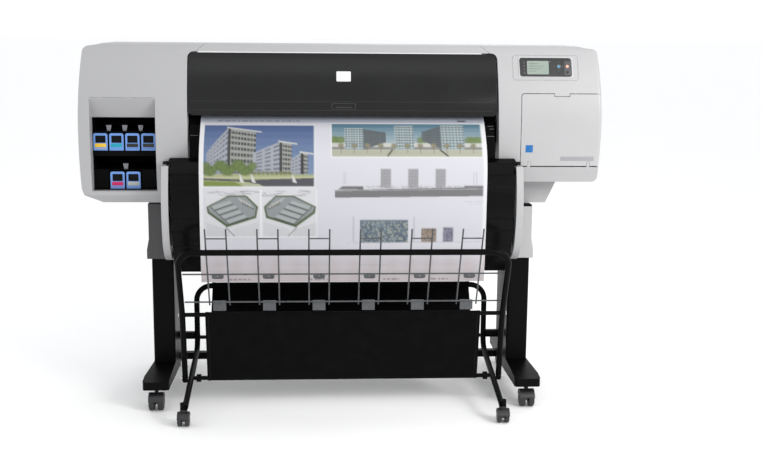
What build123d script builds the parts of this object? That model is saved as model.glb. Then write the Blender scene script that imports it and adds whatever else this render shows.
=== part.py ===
from build123d import *
import os
from math import asin, cos, hypot, sin, sqrt

# Large format plotter on a wheeled stand with a print basket.
# Millimetres. +X is to the operator's right, +Y runs from front to back, +Z is up.
# The origin is on the floor, in the middle of the whole machine.

os.makedirs("parts", exist_ok=True)

LEFT, RIGHT = -1, 1

# ---- overall sizes -------------------------------------------------------
TOP_Z = 1380.0
BODY_REAR_Y = 300.0
REAR_END_Y = 415.3
WALL = 4.0

# ---- front skin of the body, seen from the side ---------------------------
BELLY_Y, BELLY_Z = -135.0, 1080.0
BROW_Y, BROW_Z = -82.0, 1345.0
SILL_Y, SILL_Z = -118.0, 815.0


def radius_through(drop, run):
    """Radius of an arc that starts tangent to the vertical and moves back by drop over a height of run."""
    return (drop**2 + run**2) / (2 * drop)


UPPER_R = radius_through(BROW_Y - BELLY_Y, BROW_Z - BELLY_Z)
LOWER_R = radius_through(SILL_Y - BELLY_Y, BELLY_Z - SILL_Z)


def skin_angle(z):
    """Backward lean of the front skin at height z, in radians."""
    return asin((z - BELLY_Z) / UPPER_R)


def skin_point(z, out=0.0):
    """Y and Z of the point that lies out millimetres in front of the front skin at height z."""
    lean = skin_angle(z)
    centre_y = BELLY_Y + UPPER_R
    return centre_y - (UPPER_R + out) * cos(lean), BELLY_Z + (UPPER_R + out) * sin(lean)


# ---- housings --------------------------------------------------------------
INNER_X = 582.0
RIGHT_INNER_FOOT_X = 591.0
SHOULDER_X = 520.0
SHOULDER_FOOT_X = 553.0
WINDOW_TOP_Z = 1352.0
LEFT_BOTTOM_Z = 785.0
RIGHT_BOTTOM_Z = 866.0
COLUMN_BOTTOM_Z = 946.0
COLUMN_X = 676.0
SIDE_TOP = (970.0, 1345.0)
SIDE_WIDE = (983.0, 1085.0)
LEFT_SIDE_FOOT = (980.0, 840.0)
RIGHT_SIDE_FOOT = (977.0, 890.0)
SIDE_EDGE_ROUND = 12.0

# ---- window ----------------------------------------------------------------
WINDOW_HALF = 578.0
WINDOW_BOTTOM_Z = 1118.0
WINDOW_THICK = 4.0
WINDOW_TOP_EDGE = 1347.0
WINDOW_AXIS = (-78.0, 1344.5)
WINDOW_BARREL_R = 4.0
WINDOW_PIN_R = 2.0
RUNNING = 0.05

# ---- service door ------------------------------------------------------------
DOOR_X0 = 674.0
DOOR_Z0, DOOR_Z1 = 930.0, 1203.0
DOOR_REAR_Y = -60.0
DOOR_GAP = 2.0
DOOR_FOOT_GAP = 4.0
DOOR_CORNER = 10.0
DOOR_AXIS = (-124.5, 937.0)
DOOR_PIN_R = 2.0
DOOR_REACH = 267.3
DOOR_EARS = (706.0, 936.0)
EAR_HALF = 5.5
EAR_R = 10.0
TONGUE_X = (798.0, 858.0)
TONGUE_Z = 1193.0

# ---- stand -------------------------------------------------------------------
LEG_X = (657.0, 741.0)
LEG_Y = (-28.0, 232.0)
LEG_Z = (137.0, 556.0)
POST_X = (676.0, 696.0)
POST_Y = (0.0, 200.0)
POST_TOP = 985.0
FOOT_Z = 84.0
FOOT_Y = (-228.0, REAR_END_Y)
CASTER_X = 712.0
CASTER_Y = (-201.0, 368.0)
CASTER_TRAIL = 16.0
CASTER_R = 32.0
STEM_R = 6.0
STEM_RISE = 20.0

# ---- side panels and drum cover ------------------------------------------------
PANEL_X = (649.5, 675.5)
FRAME_X = (642.0, 648.0)
DRUM_HALF = 640.0
ARC_TOP_Z = 933.0
ARC_FOOT_Z = 560.0
ARC_KNEE_Z = 668.0
DRUM_CENTRE = (180.0, 779.0)
DRUM_RADIUS = 392.0

# ---- ink cartridges --------------------------------------------------------------
BAY_X = (-941.5, -700.0)
BAY_Y = (-78.0, 170.0)
BAY_Z = (826.0, 1106.0)
BAY_SILL_Z, BAY_BROW_Z = 831.0, 1182.0
BAY_FACE_Y = BAY_Y[0] - 0.3
SHEET = 3.0
BAY_OUTER_X = (BAY_X[0] - SHEET, BAY_X[1] + SHEET)
CARTRIDGE_PITCH = 59.5
CARTRIDGE_X0 = -912.0
CARTRIDGE_W, CARTRIDGE_H, CARTRIDGE_D = 54.0, 66.0, 190.0
CARTRIDGE_FRONT_Y = -84.0
ROW_Z = (980.0, 835.0)
CARTRIDGES = (
    ("yellow", 0, 0),
    ("cyan", 1, 0),
    ("matte_black", 2, 0),
    ("photo_black", 3, 0),
    ("magenta", 1, 1),
    ("grey", 2, 1),
)

# ---- print engine -----------------------------------------------------------------
ROD_R = 8.0
ROD_END_X = 921.0
RODS = ((95.0, 1180.0), (15.0, 1246.0))
CARRIAGE_X = (690.0, 850.0)
FEED_Y, FEED_Z, FEED_R = 88.0, 1105.0, 15.0
PAPER_HALF = 533.5
PAPER_THICK = 0.4
ROLL_Y = 60.0
ROLL_Z = (880.0, 672.0)
ROLL_R = 70.0
CORE_R = 38.0
SPINDLE_R = 20.0
SPINDLE_END_R = 9.0

# ---- basket ---------------------------------------------------------------------------
TUBE_R, TUBE_WALL = 11.0, 1.5
REAR_TUBE_X, FRONT_TUBE_X = 583.0, 606.0
PIVOT = (-163.0, 112.0)
MID_ROD = (-218.0, 376.0)
TOP_BAR = (-353.0, 640.0)
REAR_BAR = (100.0, 415.0)
ROD_THIN_R = 8.0
WIRE_R = 3.0
CROSS_WIRE_R = 2.5
WIRE_PAIRS = (-465.0, -279.0, -93.0, 93.0, 279.0, 465.0)
WIRE_HALF_GAP = 37.5
CLOTH_HALF = 520.0
CLOTH_THICK = 1.6
BASKET_CASTER_Y = -387.0
BASKET_WHEEL_R = 25.0


def save(piece, name):
    """Labels a finished piece and writes it."""
    piece.part.label = name
    export_step(piece.part, f"parts/{name}.step")


def block(x, y, z, mode=Mode.ADD):
    """A box between pairs of coordinates; an x pair may be given either way round."""
    centre = [(a + b) / 2 for a, b in (x, y, z)]
    with Locations(tuple(centre)):
        Box(*[abs(b - a) for a, b in (x, y, z)], mode=mode)


def both(side, pair):
    """An x pair moved to one side of the machine."""
    return side * pair[0], side * pair[1]


def rod(radius, x, y, z, mode=Mode.ADD):
    """A round bar along X between two x coordinates."""
    with Locations(Location(((x[0] + x[1]) / 2, y, z), (0, 90, 0))):
        Cylinder(radius, abs(x[1] - x[0]), mode=mode)


def upright(radius, x, y, z, mode=Mode.ADD):
    """A round bar along Z between two z coordinates."""
    with Locations((x, y, (z[0] + z[1]) / 2)):
        Cylinder(radius, z[1] - z[0], mode=mode)


def slab(x, points, mode=Mode.ADD):
    """A Y-Z outline, given as points, extruded between two x coordinates."""
    low, high = min(x), max(x)
    with BuildSketch(Plane.YZ.offset(low)) as outline:
        with BuildLine():
            Polyline(*points, close=True)
        make_face()
    extrude(outline.sketch, amount=high - low, mode=mode)


def arc_radius_point(start, centre, radius, z):
    """The point at height z on the rear-facing side of a circle about centre."""
    return centre - sqrt(radius**2 - (z - start) ** 2), z


def side_profile(left):
    """Y-Z outline of the left or right housing, as a sketch on the world Y-Z plane."""
    with BuildSketch() as profile:
        with BuildLine():
            if left:
                sill = (SILL_Y, SILL_Z)
                Line((-95, LEFT_BOTTOM_Z), sill)
                bottom, lower_rear = LEFT_BOTTOM_Z, (230, LEFT_BOTTOM_Z)
            else:
                sill = arc_radius_point(BELLY_Z, BELLY_Y + LOWER_R, LOWER_R, 928)
                Line((-104, RIGHT_BOTTOM_Z), sill)
                bottom, lower_rear = RIGHT_BOTTOM_Z, (250, RIGHT_BOTTOM_Z)
            middle_z = (sill[1] + BELLY_Z) / 2
            ThreePointArc(
                sill,
                arc_radius_point(BELLY_Z, BELLY_Y + LOWER_R, LOWER_R, middle_z),
                (BELLY_Y, BELLY_Z),
            )
            ThreePointArc((BELLY_Y, BELLY_Z), skin_point(1215), (BROW_Y, BROW_Z))
            ThreePointArc((BROW_Y, BROW_Z), (-69, 1369), (-45, TOP_Z))
            Line((-45, TOP_Z), (255, TOP_Z))
            ThreePointArc((255, TOP_Z), (287, 1367), (BODY_REAR_Y, 1335))
            Polyline((BODY_REAR_Y, 1335), (BODY_REAR_Y, 960), lower_rear)
            Line(lower_rear, (-95 if left else -104, bottom))
        make_face()
    return profile.sketch


def front_outline(left):
    """X-Z outline of a housing for positive x; the left one is mirrored when it is placed."""
    inner_foot = (INNER_X if left else RIGHT_INNER_FOOT_X, COLUMN_BOTTOM_Z)
    arch = (INNER_X, WINDOW_TOP_Z - 22)
    arch_end = (INNER_X - 24, WINDOW_TOP_Z)
    crown = (945, 1371)
    with BuildSketch() as outline:
        with BuildLine():
            Line(inner_foot, arch)
            ThreePointArc(arch, (INNER_X - 7, WINDOW_TOP_Z - 7), arch_end)
            Polyline(
                arch_end,
                (SHOULDER_FOOT_X, WINDOW_TOP_Z),
                (SHOULDER_X, TOP_Z),
                (897, TOP_Z),
                (922, 1374),
                crown,
            )
            ThreePointArc(crown, (962, 1364), SIDE_TOP)
            if left:
                ThreePointArc(SIDE_TOP, SIDE_WIDE, LEFT_SIDE_FOOT)
                Polyline(LEFT_SIDE_FOOT, (972, 815), (905, LEFT_BOTTOM_Z), (COLUMN_X, LEFT_BOTTOM_Z))
                bottom_z = LEFT_BOTTOM_Z
            else:
                ThreePointArc(SIDE_TOP, SIDE_WIDE, RIGHT_SIDE_FOOT)
                ThreePointArc(RIGHT_SIDE_FOOT, (972, 873), (955, RIGHT_BOTTOM_Z))
                Line((955, RIGHT_BOTTOM_Z), (COLUMN_X, RIGHT_BOTTOM_Z))
                bottom_z = RIGHT_BOTTOM_Z
            Polyline((COLUMN_X, bottom_z), (COLUMN_X, COLUMN_BOTTOM_Z), inner_foot)
        make_face()
    return outline.sketch


def housing_block(left, inset=0.0):
    """The solid inside a housing's skin, less inset all round; the right one has a soft front side edge."""
    outline = front_outline(left)
    if left:
        outline = mirror(outline, about=Plane.YZ, mode=Mode.PRIVATE)
    with BuildPart() as solid:
        with BuildSketch(Plane.YZ.offset(-1000 if left else 500)):
            add(side_profile(left))
            if inset:
                offset(amount=-inset, kind=Kind.INTERSECTION, mode=Mode.REPLACE)
        extrude(amount=500)
        with BuildSketch(Plane.XZ.offset(-400)):
            add(outline)
            if inset:
                offset(amount=-inset, kind=Kind.INTERSECTION, mode=Mode.REPLACE)
        extrude(amount=800, mode=Mode.INTERSECT)
        if not inset and not left:
            upright_edges = solid.edges().filter_by(lambda e: (e @ 0.5).X > 960 and e.length > 150)
            front_edges = upright_edges.filter_by(lambda e: (e @ 0.5).Y < -60)
            fillet(front_edges, radius=SIDE_EDGE_ROUND)
    return solid.part


def skin_band(x, z, low, high, corner, slant=0.0):
    """A plate on the front skin, from low to high millimetres out, with rounded corners."""
    width, height = x[1] - x[0], z[1] - z[0]
    with BuildPart() as plate:
        with BuildSketch(Plane.YZ.offset(x[0] - 20)):
            with BuildLine():
                foot_z, middle_z, head_z = z[0] - 30, (z[0] + z[1]) / 2, z[1] + 30
                Line(skin_point(foot_z, low), skin_point(foot_z, high))
                ThreePointArc(skin_point(foot_z, high), skin_point(middle_z, high), skin_point(head_z, high))
                Line(skin_point(head_z, high), skin_point(head_z, low))
                ThreePointArc(skin_point(head_z, low), skin_point(middle_z, low), skin_point(foot_z, low))
            make_face()
        extrude(amount=width + 40 + slant)
        with BuildSketch(Plane.XZ.offset(-400)) as mask:
            with BuildLine():
                Polyline(
                    (x[0] + slant, z[0]), (x[1] + slant, z[0]), (x[1], z[1]), (x[0], z[1]), close=True
                )
            make_face()
            fillet(mask.vertices(), radius=corner)
        extrude(amount=800, mode=Mode.INTERSECT)
    return plate.part


def post_passage(side):
    """Cuts the opening that a housing leaves round the post."""
    passage_y = (POST_Y[0] - 3, POST_Y[1] + 3)
    block(both(side, (670, 700)), passage_y, (700, POST_TOP + 15), mode=Mode.SUBTRACT)


def housing_shell(left):
    """The hollow casing at one end, open towards the print zone and around the post."""
    side = LEFT if left else RIGHT
    with BuildPart() as shell:
        add(housing_block(left))
        add(housing_block(left, WALL), mode=Mode.SUBTRACT)
        block(both(side, (500, 620)), (-60, 285), (975, 1325), mode=Mode.SUBTRACT)
        post_passage(side)
        rod(WINDOW_PIN_R + RUNNING, both(side, (550, 600)), *WINDOW_AXIS, mode=Mode.SUBTRACT)
    return shell.part


def front_prism(points, rear_y, front_y):
    """An X-Z outline, given as points, extruded from rear_y forwards to front_y."""
    with BuildSketch(Plane.XZ.offset(-rear_y)) as outline:
        with BuildLine():
            Polyline(*points, close=True)
        make_face()
    with BuildPart() as prism:
        extrude(outline.sketch, amount=rear_y - front_y)
    return prism.part


def door_blank(gap, foot_gap, rear_y):
    """The space of the service door, grown by its gaps, with rounded inner corners."""
    x0, z0, z1 = DOOR_X0 - gap, DOOR_Z0 - foot_gap, DOOR_Z1 + gap
    with BuildPart() as blank:
        with BuildSketch(Plane.XZ.offset(-rear_y)) as mask:
            with BuildLine():
                Polyline((x0, z0), (1100, z0), (1100, z1), (x0, z1), close=True)
            make_face()
            fillet(mask.vertices().sort_by(Axis.X)[:2], radius=DOOR_CORNER + gap)
        extrude(amount=300 + rear_y)
    return blank.part


def hinge_ear(x):
    """A rounded hook, flush with the front skin, that carries one of the door's pins."""
    with BuildPart() as ear:
        rod(EAR_R, (x - EAR_HALF, x + EAR_HALF), *DOOR_AXIS)
        ear_y = (DOOR_AXIS[0] - EAR_R, DOOR_AXIS[0] + EAR_R)
        block((x - EAR_HALF, x + EAR_HALF), ear_y, (DOOR_AXIS[1] - 22, DOOR_AXIS[1]))
        add(housing_block(False), mode=Mode.INTERSECT)
    return ear.part


def normal_plane(x, z, out=0.0):
    """A plane on the front skin at x and z, looking outwards, out millimetres in front of it."""
    y, height = skin_point(z, out)
    lean = skin_angle(z)
    return Plane(origin=(x, y, height), x_dir=(1, 0, 0), z_dir=(0, -cos(lean), sin(lean)))


# ==== casings ================================================================
with BuildPart() as left_housing:
    add(housing_shell(True))
    block(BAY_X, (-300, -60), (BAY_SILL_Z, BAY_BROW_Z), mode=Mode.SUBTRACT)
    hood = ((-124, BAY_BROW_Z + 2), (-128, BAY_BROW_Z - 4), (-80.5, 1105), (-78.4, 1109.5))
    slab(BAY_OUTER_X, hood)
    cheek = ((-117, 825), (-125, 900), (-131.5, 1000), (-133, 1080), (-131.5, 1130), (-126, 1178.5))
    for outer_x, inner_x in zip(BAY_OUTER_X, BAY_X):
        slab((outer_x, inner_x), ((BAY_FACE_Y, 825),) + cheek + ((BAY_FACE_Y, 1107),))
    block(BAY_OUTER_X, (-119, BAY_FACE_Y), (BAY_SILL_Z - SHEET, BAY_SILL_Z))
    skirt_z = LEFT_BOTTOM_Z - 8
    skirt = ((-676, LEFT_BOTTOM_Z + 1), (-749, LEFT_BOTTOM_Z + 1), (-741, skirt_z), (-676, skirt_z))
    add(front_prism(skirt, 220, -50))
    post_passage(LEFT)
save(left_housing, "left_housing")

with BuildPart() as right_housing:
    add(housing_shell(False))
    add(door_blank(DOOR_GAP, DOOR_FOOT_GAP, DOOR_REAR_Y), mode=Mode.SUBTRACT)
    tongue_x = (TONGUE_X[0] + 1.5, TONGUE_X[1] - 1.5)
    add(skin_band(tongue_x, (TONGUE_Z + 1.5, DOOR_Z1 + 9), -WALL, 0.0, 3.0))
    for ear_x in DOOR_EARS:
        add(hinge_ear(ear_x))
        rod(DOOR_PIN_R + RUNNING, (ear_x - 9, ear_x + 9), *DOOR_AXIS, mode=Mode.SUBTRACT)
    block((738, 790), (290, 310), (1004, 1036), mode=Mode.SUBTRACT)
save(right_housing, "right_housing")

with BuildPart() as service_door:
    add(housing_block(False))
    add(housing_block(False, WALL), mode=Mode.SUBTRACT)
    add(door_blank(0.0, 0.0, DOOR_REAR_Y - DOOR_GAP), mode=Mode.INTERSECT)
    rod(DOOR_REACH, (DOOR_X0 - 1, 1100), *DOOR_AXIS, mode=Mode.INTERSECT)
    block(TONGUE_X, (-300, -100), (TONGUE_Z, DOOR_Z1 + 5), mode=Mode.SUBTRACT)
    for end_x, step in zip(TONGUE_X, (1, -1)):
        thumb_x = [end_x + step * run for run in (1, 19, 10)]
        thumb = tuple(zip(thumb_x, (TONGUE_Z + 1, TONGUE_Z + 1, TONGUE_Z - 10)))
        add(front_prism(thumb, -126.4, -140), mode=Mode.SUBTRACT)
    for ear_x in DOOR_EARS:
        notch_x = (ear_x - EAR_HALF - 0.6, ear_x + EAR_HALF + 0.6)
        rod(EAR_R + 1, notch_x, *DOOR_AXIS, mode=Mode.SUBTRACT)
        block(notch_x, (-140, -110), (920, DOOR_AXIS[1]), mode=Mode.SUBTRACT)
        for step in (-1, 1):
            rod(4.5, (ear_x + step * (EAR_HALF + 1), ear_x + step * (EAR_HALF + 9)), *DOOR_AXIS)
        rod(DOOR_PIN_R, (ear_x - EAR_HALF - 4, ear_x + EAR_HALF + 4), *DOOR_AXIS)
save(service_door, "service_door")

with BuildPart() as top_cover:
    with BuildSketch(Plane.YZ.offset(-SHOULDER_FOOT_X)):
        add(side_profile(False))
        offset(side_profile(False), amount=-WALL, kind=Kind.INTERSECTION, mode=Mode.SUBTRACT)
    extrude(amount=2 * SHOULDER_FOOT_X)
    with BuildSketch(Plane.XZ.offset(-400)):
        with BuildLine():
            Polyline(
                (-SHOULDER_FOOT_X + 1, WINDOW_TOP_Z),
                (SHOULDER_FOOT_X - 1, WINDOW_TOP_Z),
                (SHOULDER_X - 1, TOP_Z),
                (1 - SHOULDER_X, TOP_Z),
                close=True,
            )
        make_face()
    extrude(amount=800, mode=Mode.INTERSECT)
save(top_cover, "top_cover")

with BuildPart() as rear_cover:
    block((-578, 578), (294, 298), (968, 1330))
    with GridLocations(40, 0, 24, 1):
        with Locations((0, 296, 1225)):
            Box(5, 20, 110, mode=Mode.SUBTRACT)
    block((-578, 578), (270, 294), (968, 972))
save(rear_cover, "rear_cover")

with BuildPart() as window:
    add(skin_band((-WINDOW_HALF, WINDOW_HALF), (WINDOW_BOTTOM_Z, WINDOW_TOP_EDGE), -WINDOW_THICK, 0.0, 20.0))
    rod(WINDOW_BARREL_R, (-555, 555), *WINDOW_AXIS)
    rod(WINDOW_PIN_R, (-581, 581), *WINDOW_AXIS)
    lip_shape = ((2, -WINDOW_THICK), (2, 3), (12, 3), (18, 0), (18, -WINDOW_THICK))
    lip = [skin_point(WINDOW_BOTTOM_Z + rise, out) for rise, out in lip_shape]
    slab((-556, 556), lip)
save(window, "window")

# ==== control panel ===========================================================
PANEL_RECT = ((665.0, 862.0), (1268.0, 1337.0))
PANEL_OUT = (0.05, 3.0)
KEYS = {
    "ok_button": (815.0, 1305.0, 8.5),
    "cancel_button": (848.0, 1305.0, 5.5),
    "power_button": (848.0, 1283.0, 5.5),
}
KEY_OUT = (1.3, 4.6)
KEY_GAP = 0.3

with BuildPart() as control_panel:
    add(skin_band(*PANEL_RECT, *PANEL_OUT, 10.0, slant=4.0))
    for key_x, key_z, key_r in KEYS.values():
        with BuildSketch(normal_plane(key_x, key_z, -5)):
            Circle(key_r + KEY_GAP)
        extrude(amount=20, mode=Mode.SUBTRACT)
save(control_panel, "control_panel")

with BuildPart() as display_screen:
    add(skin_band((694.0, 777.0), (1276.0, 1326.0), 3.05, 3.6, 4.0))
save(display_screen, "display_screen")

for key_name, (key_x, key_z, key_r) in KEYS.items():
    with BuildPart() as key:
        with BuildSketch(normal_plane(key_x, key_z, KEY_OUT[0])):
            Circle(key_r)
        extrude(amount=KEY_OUT[1] - KEY_OUT[0])
        chamfer(key.faces().sort_by(Axis.Y)[0].edges(), length=0.6)
    save(key, key_name)

# ==== ink cartridge bay ==========================================================
FLOOR_GAP = 0.3
DIVIDER_HALF = 1.5
ROW_HEADROOM = 70.0


def cartridge_x(column):
    """Centre of a cartridge column."""
    return CARTRIDGE_X0 + column * CARTRIDGE_PITCH


with BuildPart() as cartridge_bay:
    block(BAY_OUTER_X, BAY_Y, (BAY_Z[0] - SHEET, BAY_Z[1] + SHEET))
    block(BAY_X, (BAY_Y[0] - 10, BAY_Y[1] - SHEET), BAY_Z, mode=Mode.SUBTRACT)
    stall_y = (BAY_Y[0], BAY_Y[1] - SHEET)
    for row_z in ROW_Z:
        block(BAY_X, stall_y, (row_z - FLOOR_GAP - SHEET, row_z - FLOOR_GAP))
        for column in range(3):
            x = cartridge_x(column) + CARTRIDGE_PITCH / 2
            fin = (x - DIVIDER_HALF, x + DIVIDER_HALF)
            block(fin, stall_y, (row_z - FLOOR_GAP, row_z + ROW_HEADROOM))
        roof_z = row_z + ROW_HEADROOM
        block(BAY_X, stall_y, (roof_z, roof_z + SHEET))
    apron_x = (BAY_X[0] + 0.3, BAY_X[1] - 0.3)
    apron_y = (BAY_Y[0] - 8, BAY_Y[0])
    block(apron_x, apron_y, (ROW_Z[0] - 20, ROW_Z[0] - FLOOR_GAP))
    block(apron_x, apron_y, (BAY_SILL_Z + 0.3, ROW_Z[1] - FLOOR_GAP))
    for column in (0, 3):
        x = cartridge_x(column)
        block((x - 27, x + 27), (BAY_Y[0], BAY_Y[0] + 4), (ROW_Z[1], ROW_Z[1] + ROW_HEADROOM))
save(cartridge_bay, "cartridge_bay")

# Recesses in a cartridge's front, as x half width, heights above its bottom, and depth.
CARTRIDGE_RECESSES = ((19.0, (29.5, 56.5), 5.0), (21.0, (13.0, 27.0), 1.5))

for ink, column, row in CARTRIDGES:
    with BuildPart() as cartridge:
        x = cartridge_x(column)
        z = ROW_Z[row]
        rear_y = CARTRIDGE_FRONT_Y + CARTRIDGE_D
        block((x - CARTRIDGE_W / 2, x + CARTRIDGE_W / 2), (CARTRIDGE_FRONT_Y, rear_y), (z, z + CARTRIDGE_H))
        fillet(cartridge.edges().filter_by(Axis.Y), radius=3)
        for half, (low, high), depth in CARTRIDGE_RECESSES:
            recess_y = (CARTRIDGE_FRONT_Y, CARTRIDGE_FRONT_Y + depth)
            block((x - half, x + half), recess_y, (z + low, z + high), mode=Mode.SUBTRACT)
    save(cartridge, f"{ink}_cartridge")

# ==== frame and print engine ======================================================
TUBE_SHEET = 3.0
BEARING_X = (590.0, 598.0)
JOURNAL_R = 6.0
END_PLATE_X = (ROD_END_X - 6.0, ROD_END_X)


def box_tube(x, y, z, along):
    """A hollow square tube, as a part; along names the open direction."""
    inner = [(min(a) + TUBE_SHEET, max(a) - TUBE_SHEET) for a in (x, y, z)]
    axis = "XYZ".index(along)
    inner[axis] = (min((x, y, z)[axis]) - 1, max((x, y, z)[axis]) + 1)
    with BuildPart() as tube:
        block(x, y, z)
        block(*inner, mode=Mode.SUBTRACT)
    return tube.part


with BuildPart() as chassis:
    add(box_tube((-END_PLATE_X[0], END_PLATE_X[0]), (175, 245), (990, 1070), "X"))
    add(box_tube((-END_PLATE_X[0], END_PLATE_X[0]), (222, 262), (1285, 1325), "X"))
    for side in (LEFT, RIGHT):
        block(both(side, END_PLATE_X), (-30, 262), (1112, 1330))
        block(both(side, END_PLATE_X), (174, 262), (990, 1113))
        block(both(side, BEARING_X), (66, 176), (1040, 1123))
        for rod_y, rod_z in RODS:
            hole_x = both(side, (END_PLATE_X[0] - 1, END_PLATE_X[1] + 1))
            rod(ROD_R, hole_x, rod_y, rod_z, mode=Mode.SUBTRACT)
        rod(JOURNAL_R + RUNNING, both(side, (580, 610)), FEED_Y, FEED_Z, mode=Mode.SUBTRACT)
        add(box_tube(both(side, POST_X), POST_Y, (LEG_Z[1], 990), "Z"))
        block(both(side, FRAME_X), (-20, 180), (575, ARC_TOP_Z - 3))
        for roll_z in ROLL_Z:
            rod(SPINDLE_END_R + RUNNING, both(side, (630, 656)), ROLL_Y, roll_z, mode=Mode.SUBTRACT)
save(chassis, "chassis")

PLATEN_TOP = FEED_Z + FEED_R - 0.4
RAMP_FRONT = ((-84, 1108), (-101, 1080), (-116, 1040), (-127, 1000), (-134, 968), (-136, 950))
RAMP = ((64, PLATEN_TOP), (-58, PLATEN_TOP)) + RAMP_FRONT

with BuildPart() as platen:
    inner_face = tuple((y + 4.5, z - 4) for y, z in reversed(RAMP_FRONT))
    slab((-576, 576), RAMP + inner_face + ((-56, PLATEN_TOP - 5), (64, PLATEN_TOP - 5)))
    with GridLocations(60, 0, 17, 1):
        with Locations((0, 8, PLATEN_TOP)):
            Box(24, 70, 3, mode=Mode.SUBTRACT)
    for rib_x in range(-540, 541, 180):
        block((rib_x - 3, rib_x + 3), (-50, 62), (1085, PLATEN_TOP - 5))
save(platen, "platen")

with BuildPart() as slider_rods:
    for rod_y, rod_z in RODS:
        rod(ROD_R, (-ROD_END_X, ROD_END_X), rod_y, rod_z)
save(slider_rods, "slider_rods")

HEADS = 3


def head_x(head):
    """Centre of a print head in the parked carriage."""
    return CARRIAGE_X[0] + 34 + head * 46


with BuildPart() as carriage:
    slab(
        CARRIAGE_X,
        ((-38, 1126), (128, 1126), (128, 1220), (70, 1276), (-20, 1276), (-44, 1240), (-44, 1150)),
    )
    fillet(carriage.edges().filter_by(Axis.X), radius=6)
    block((CARRIAGE_X[0] + 12, CARRIAGE_X[1] - 12), (-30, 60), (1120, 1150), mode=Mode.SUBTRACT)
    for head in range(HEADS):
        block((head_x(head) - 19, head_x(head) + 19), (-26, 54), (1124.5, 1150))
    for rod_y, rod_z in RODS:
        rod(ROD_R + RUNNING, (CARRIAGE_X[0] - 1, CARRIAGE_X[1] + 1), rod_y, rod_z, mode=Mode.SUBTRACT)
save(carriage, "carriage")

with BuildPart() as service_station:
    block((CARRIAGE_X[0], CARRIAGE_X[1] + 40), (-30, 150), (1020, 1108))
    block((CARRIAGE_X[0] + 4, CARRIAGE_X[1] + 36), (-26, 146), (1030, 1110), mode=Mode.SUBTRACT)
    for head in range(HEADS):
        block((head_x(head) - 16, head_x(head) + 16), (-22, 50), (1028, 1118))
        block((head_x(head) - 13, head_x(head) + 13), (-19, 47), (1110, 1120), mode=Mode.SUBTRACT)
save(service_station, "service_station")

with BuildPart() as maintenance_cartridge:
    block((702, 922), (-100, 150), (950, 1008))
    fillet(maintenance_cartridge.edges().filter_by(Axis.Y), radius=6)
    block((770, 854), (-101, -78), (962, 996), mode=Mode.SUBTRACT)
    block((800, 824), (-96, -76), (962, 996))
save(maintenance_cartridge, "maintenance_cartridge")

with BuildPart() as feed_roller:
    rod(FEED_R - 0.4, (-560, 560), FEED_Y, FEED_Z)
    rod(JOURNAL_R, (-598, 598), FEED_Y, FEED_Z)
save(feed_roller, "feed_roller")

# ==== paper ===========================================================================
WEB_RISE = FEED_Z + FEED_R + 0.3

with BuildPart() as paper_web:
    with BuildSketch(Plane.YZ.offset(-PAPER_HALF)):
        with BuildLine():
            Line((ROLL_Y + ROLL_R + 2.5, ROLL_Z[0] + 4), (104.5, 1092))
            ThreePointArc((104.5, 1092), (101, 1114.5), (86, WEB_RISE))
            Line((86, WEB_RISE), (-52, WEB_RISE))
            Spline(
                (-52, WEB_RISE),
                (-74, WEB_RISE - 1.9),
                (-94, 1109.2),
                (-140, 1070),
                (-196, 1008),
                (-226, 930),
                (-229, 840),
                (-227, 750),
                (-222, 660),
                (-214, 580),
                (-205, 498),
                tangents=((-1, 0), (0.11, -1)),
                tangent_scalars=(1, 1),
            )
        trace(line_width=PAPER_THICK)
    extrude(amount=2 * PAPER_HALF)
save(paper_web, "paper_web")

for level, roll_z in zip(("upper", "lower"), ROLL_Z):
    with BuildPart() as paper_roll:
        rod(ROLL_R, (-PAPER_HALF, PAPER_HALF), ROLL_Y, roll_z)
        rod(CORE_R, (-PAPER_HALF - 1, PAPER_HALF + 1), ROLL_Y, roll_z, mode=Mode.SUBTRACT)
    save(paper_roll, f"{level}_paper_roll")

    with BuildPart() as spindle:
        rod(SPINDLE_R, (-612, 612), ROLL_Y, roll_z)
        rod(SPINDLE_R - 3, (-606, 606), ROLL_Y, roll_z, mode=Mode.SUBTRACT)
        for side in (LEFT, RIGHT):
            rod(62, both(side, (PAPER_HALF + 0.2, PAPER_HALF + 12)), ROLL_Y, roll_z)
            rod(CORE_R - 0.1, both(side, (PAPER_HALF - 60, PAPER_HALF + 5)), ROLL_Y, roll_z)
            rod(SPINDLE_END_R, both(side, (610, 647)), ROLL_Y, roll_z)
    save(spindle, f"{level}_spindle")

# ==== roll compartment ====================================================================
ARC_REAR_Y = 190.0
ARC_PROUD = 4.0


def drum_y(z, out=0.0):
    """Y of the drum cover's outside at height z."""
    return DRUM_CENTRE[0] - sqrt((DRUM_RADIUS + out) ** 2 - (z - DRUM_CENTRE[1]) ** 2)


def arc_outline():
    """Y-Z outline of a side panel: a swelling front edge and a straight back."""
    top = (drum_y(ARC_TOP_Z, ARC_PROUD), ARC_TOP_Z)
    knee = (drum_y(ARC_KNEE_Z, ARC_PROUD), ARC_KNEE_Z)
    with BuildSketch() as outline:
        with BuildLine():
            ThreePointArc(top, (drum_y(DRUM_CENTRE[1], ARC_PROUD), DRUM_CENTRE[1]), knee)
            ThreePointArc(knee, (-164, 601), (-88, ARC_FOOT_Z))
            Polyline((-88, ARC_FOOT_Z), (ARC_REAR_Y, ARC_FOOT_Z), (ARC_REAR_Y, ARC_TOP_Z), top)
        make_face()
    return outline.sketch


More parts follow.
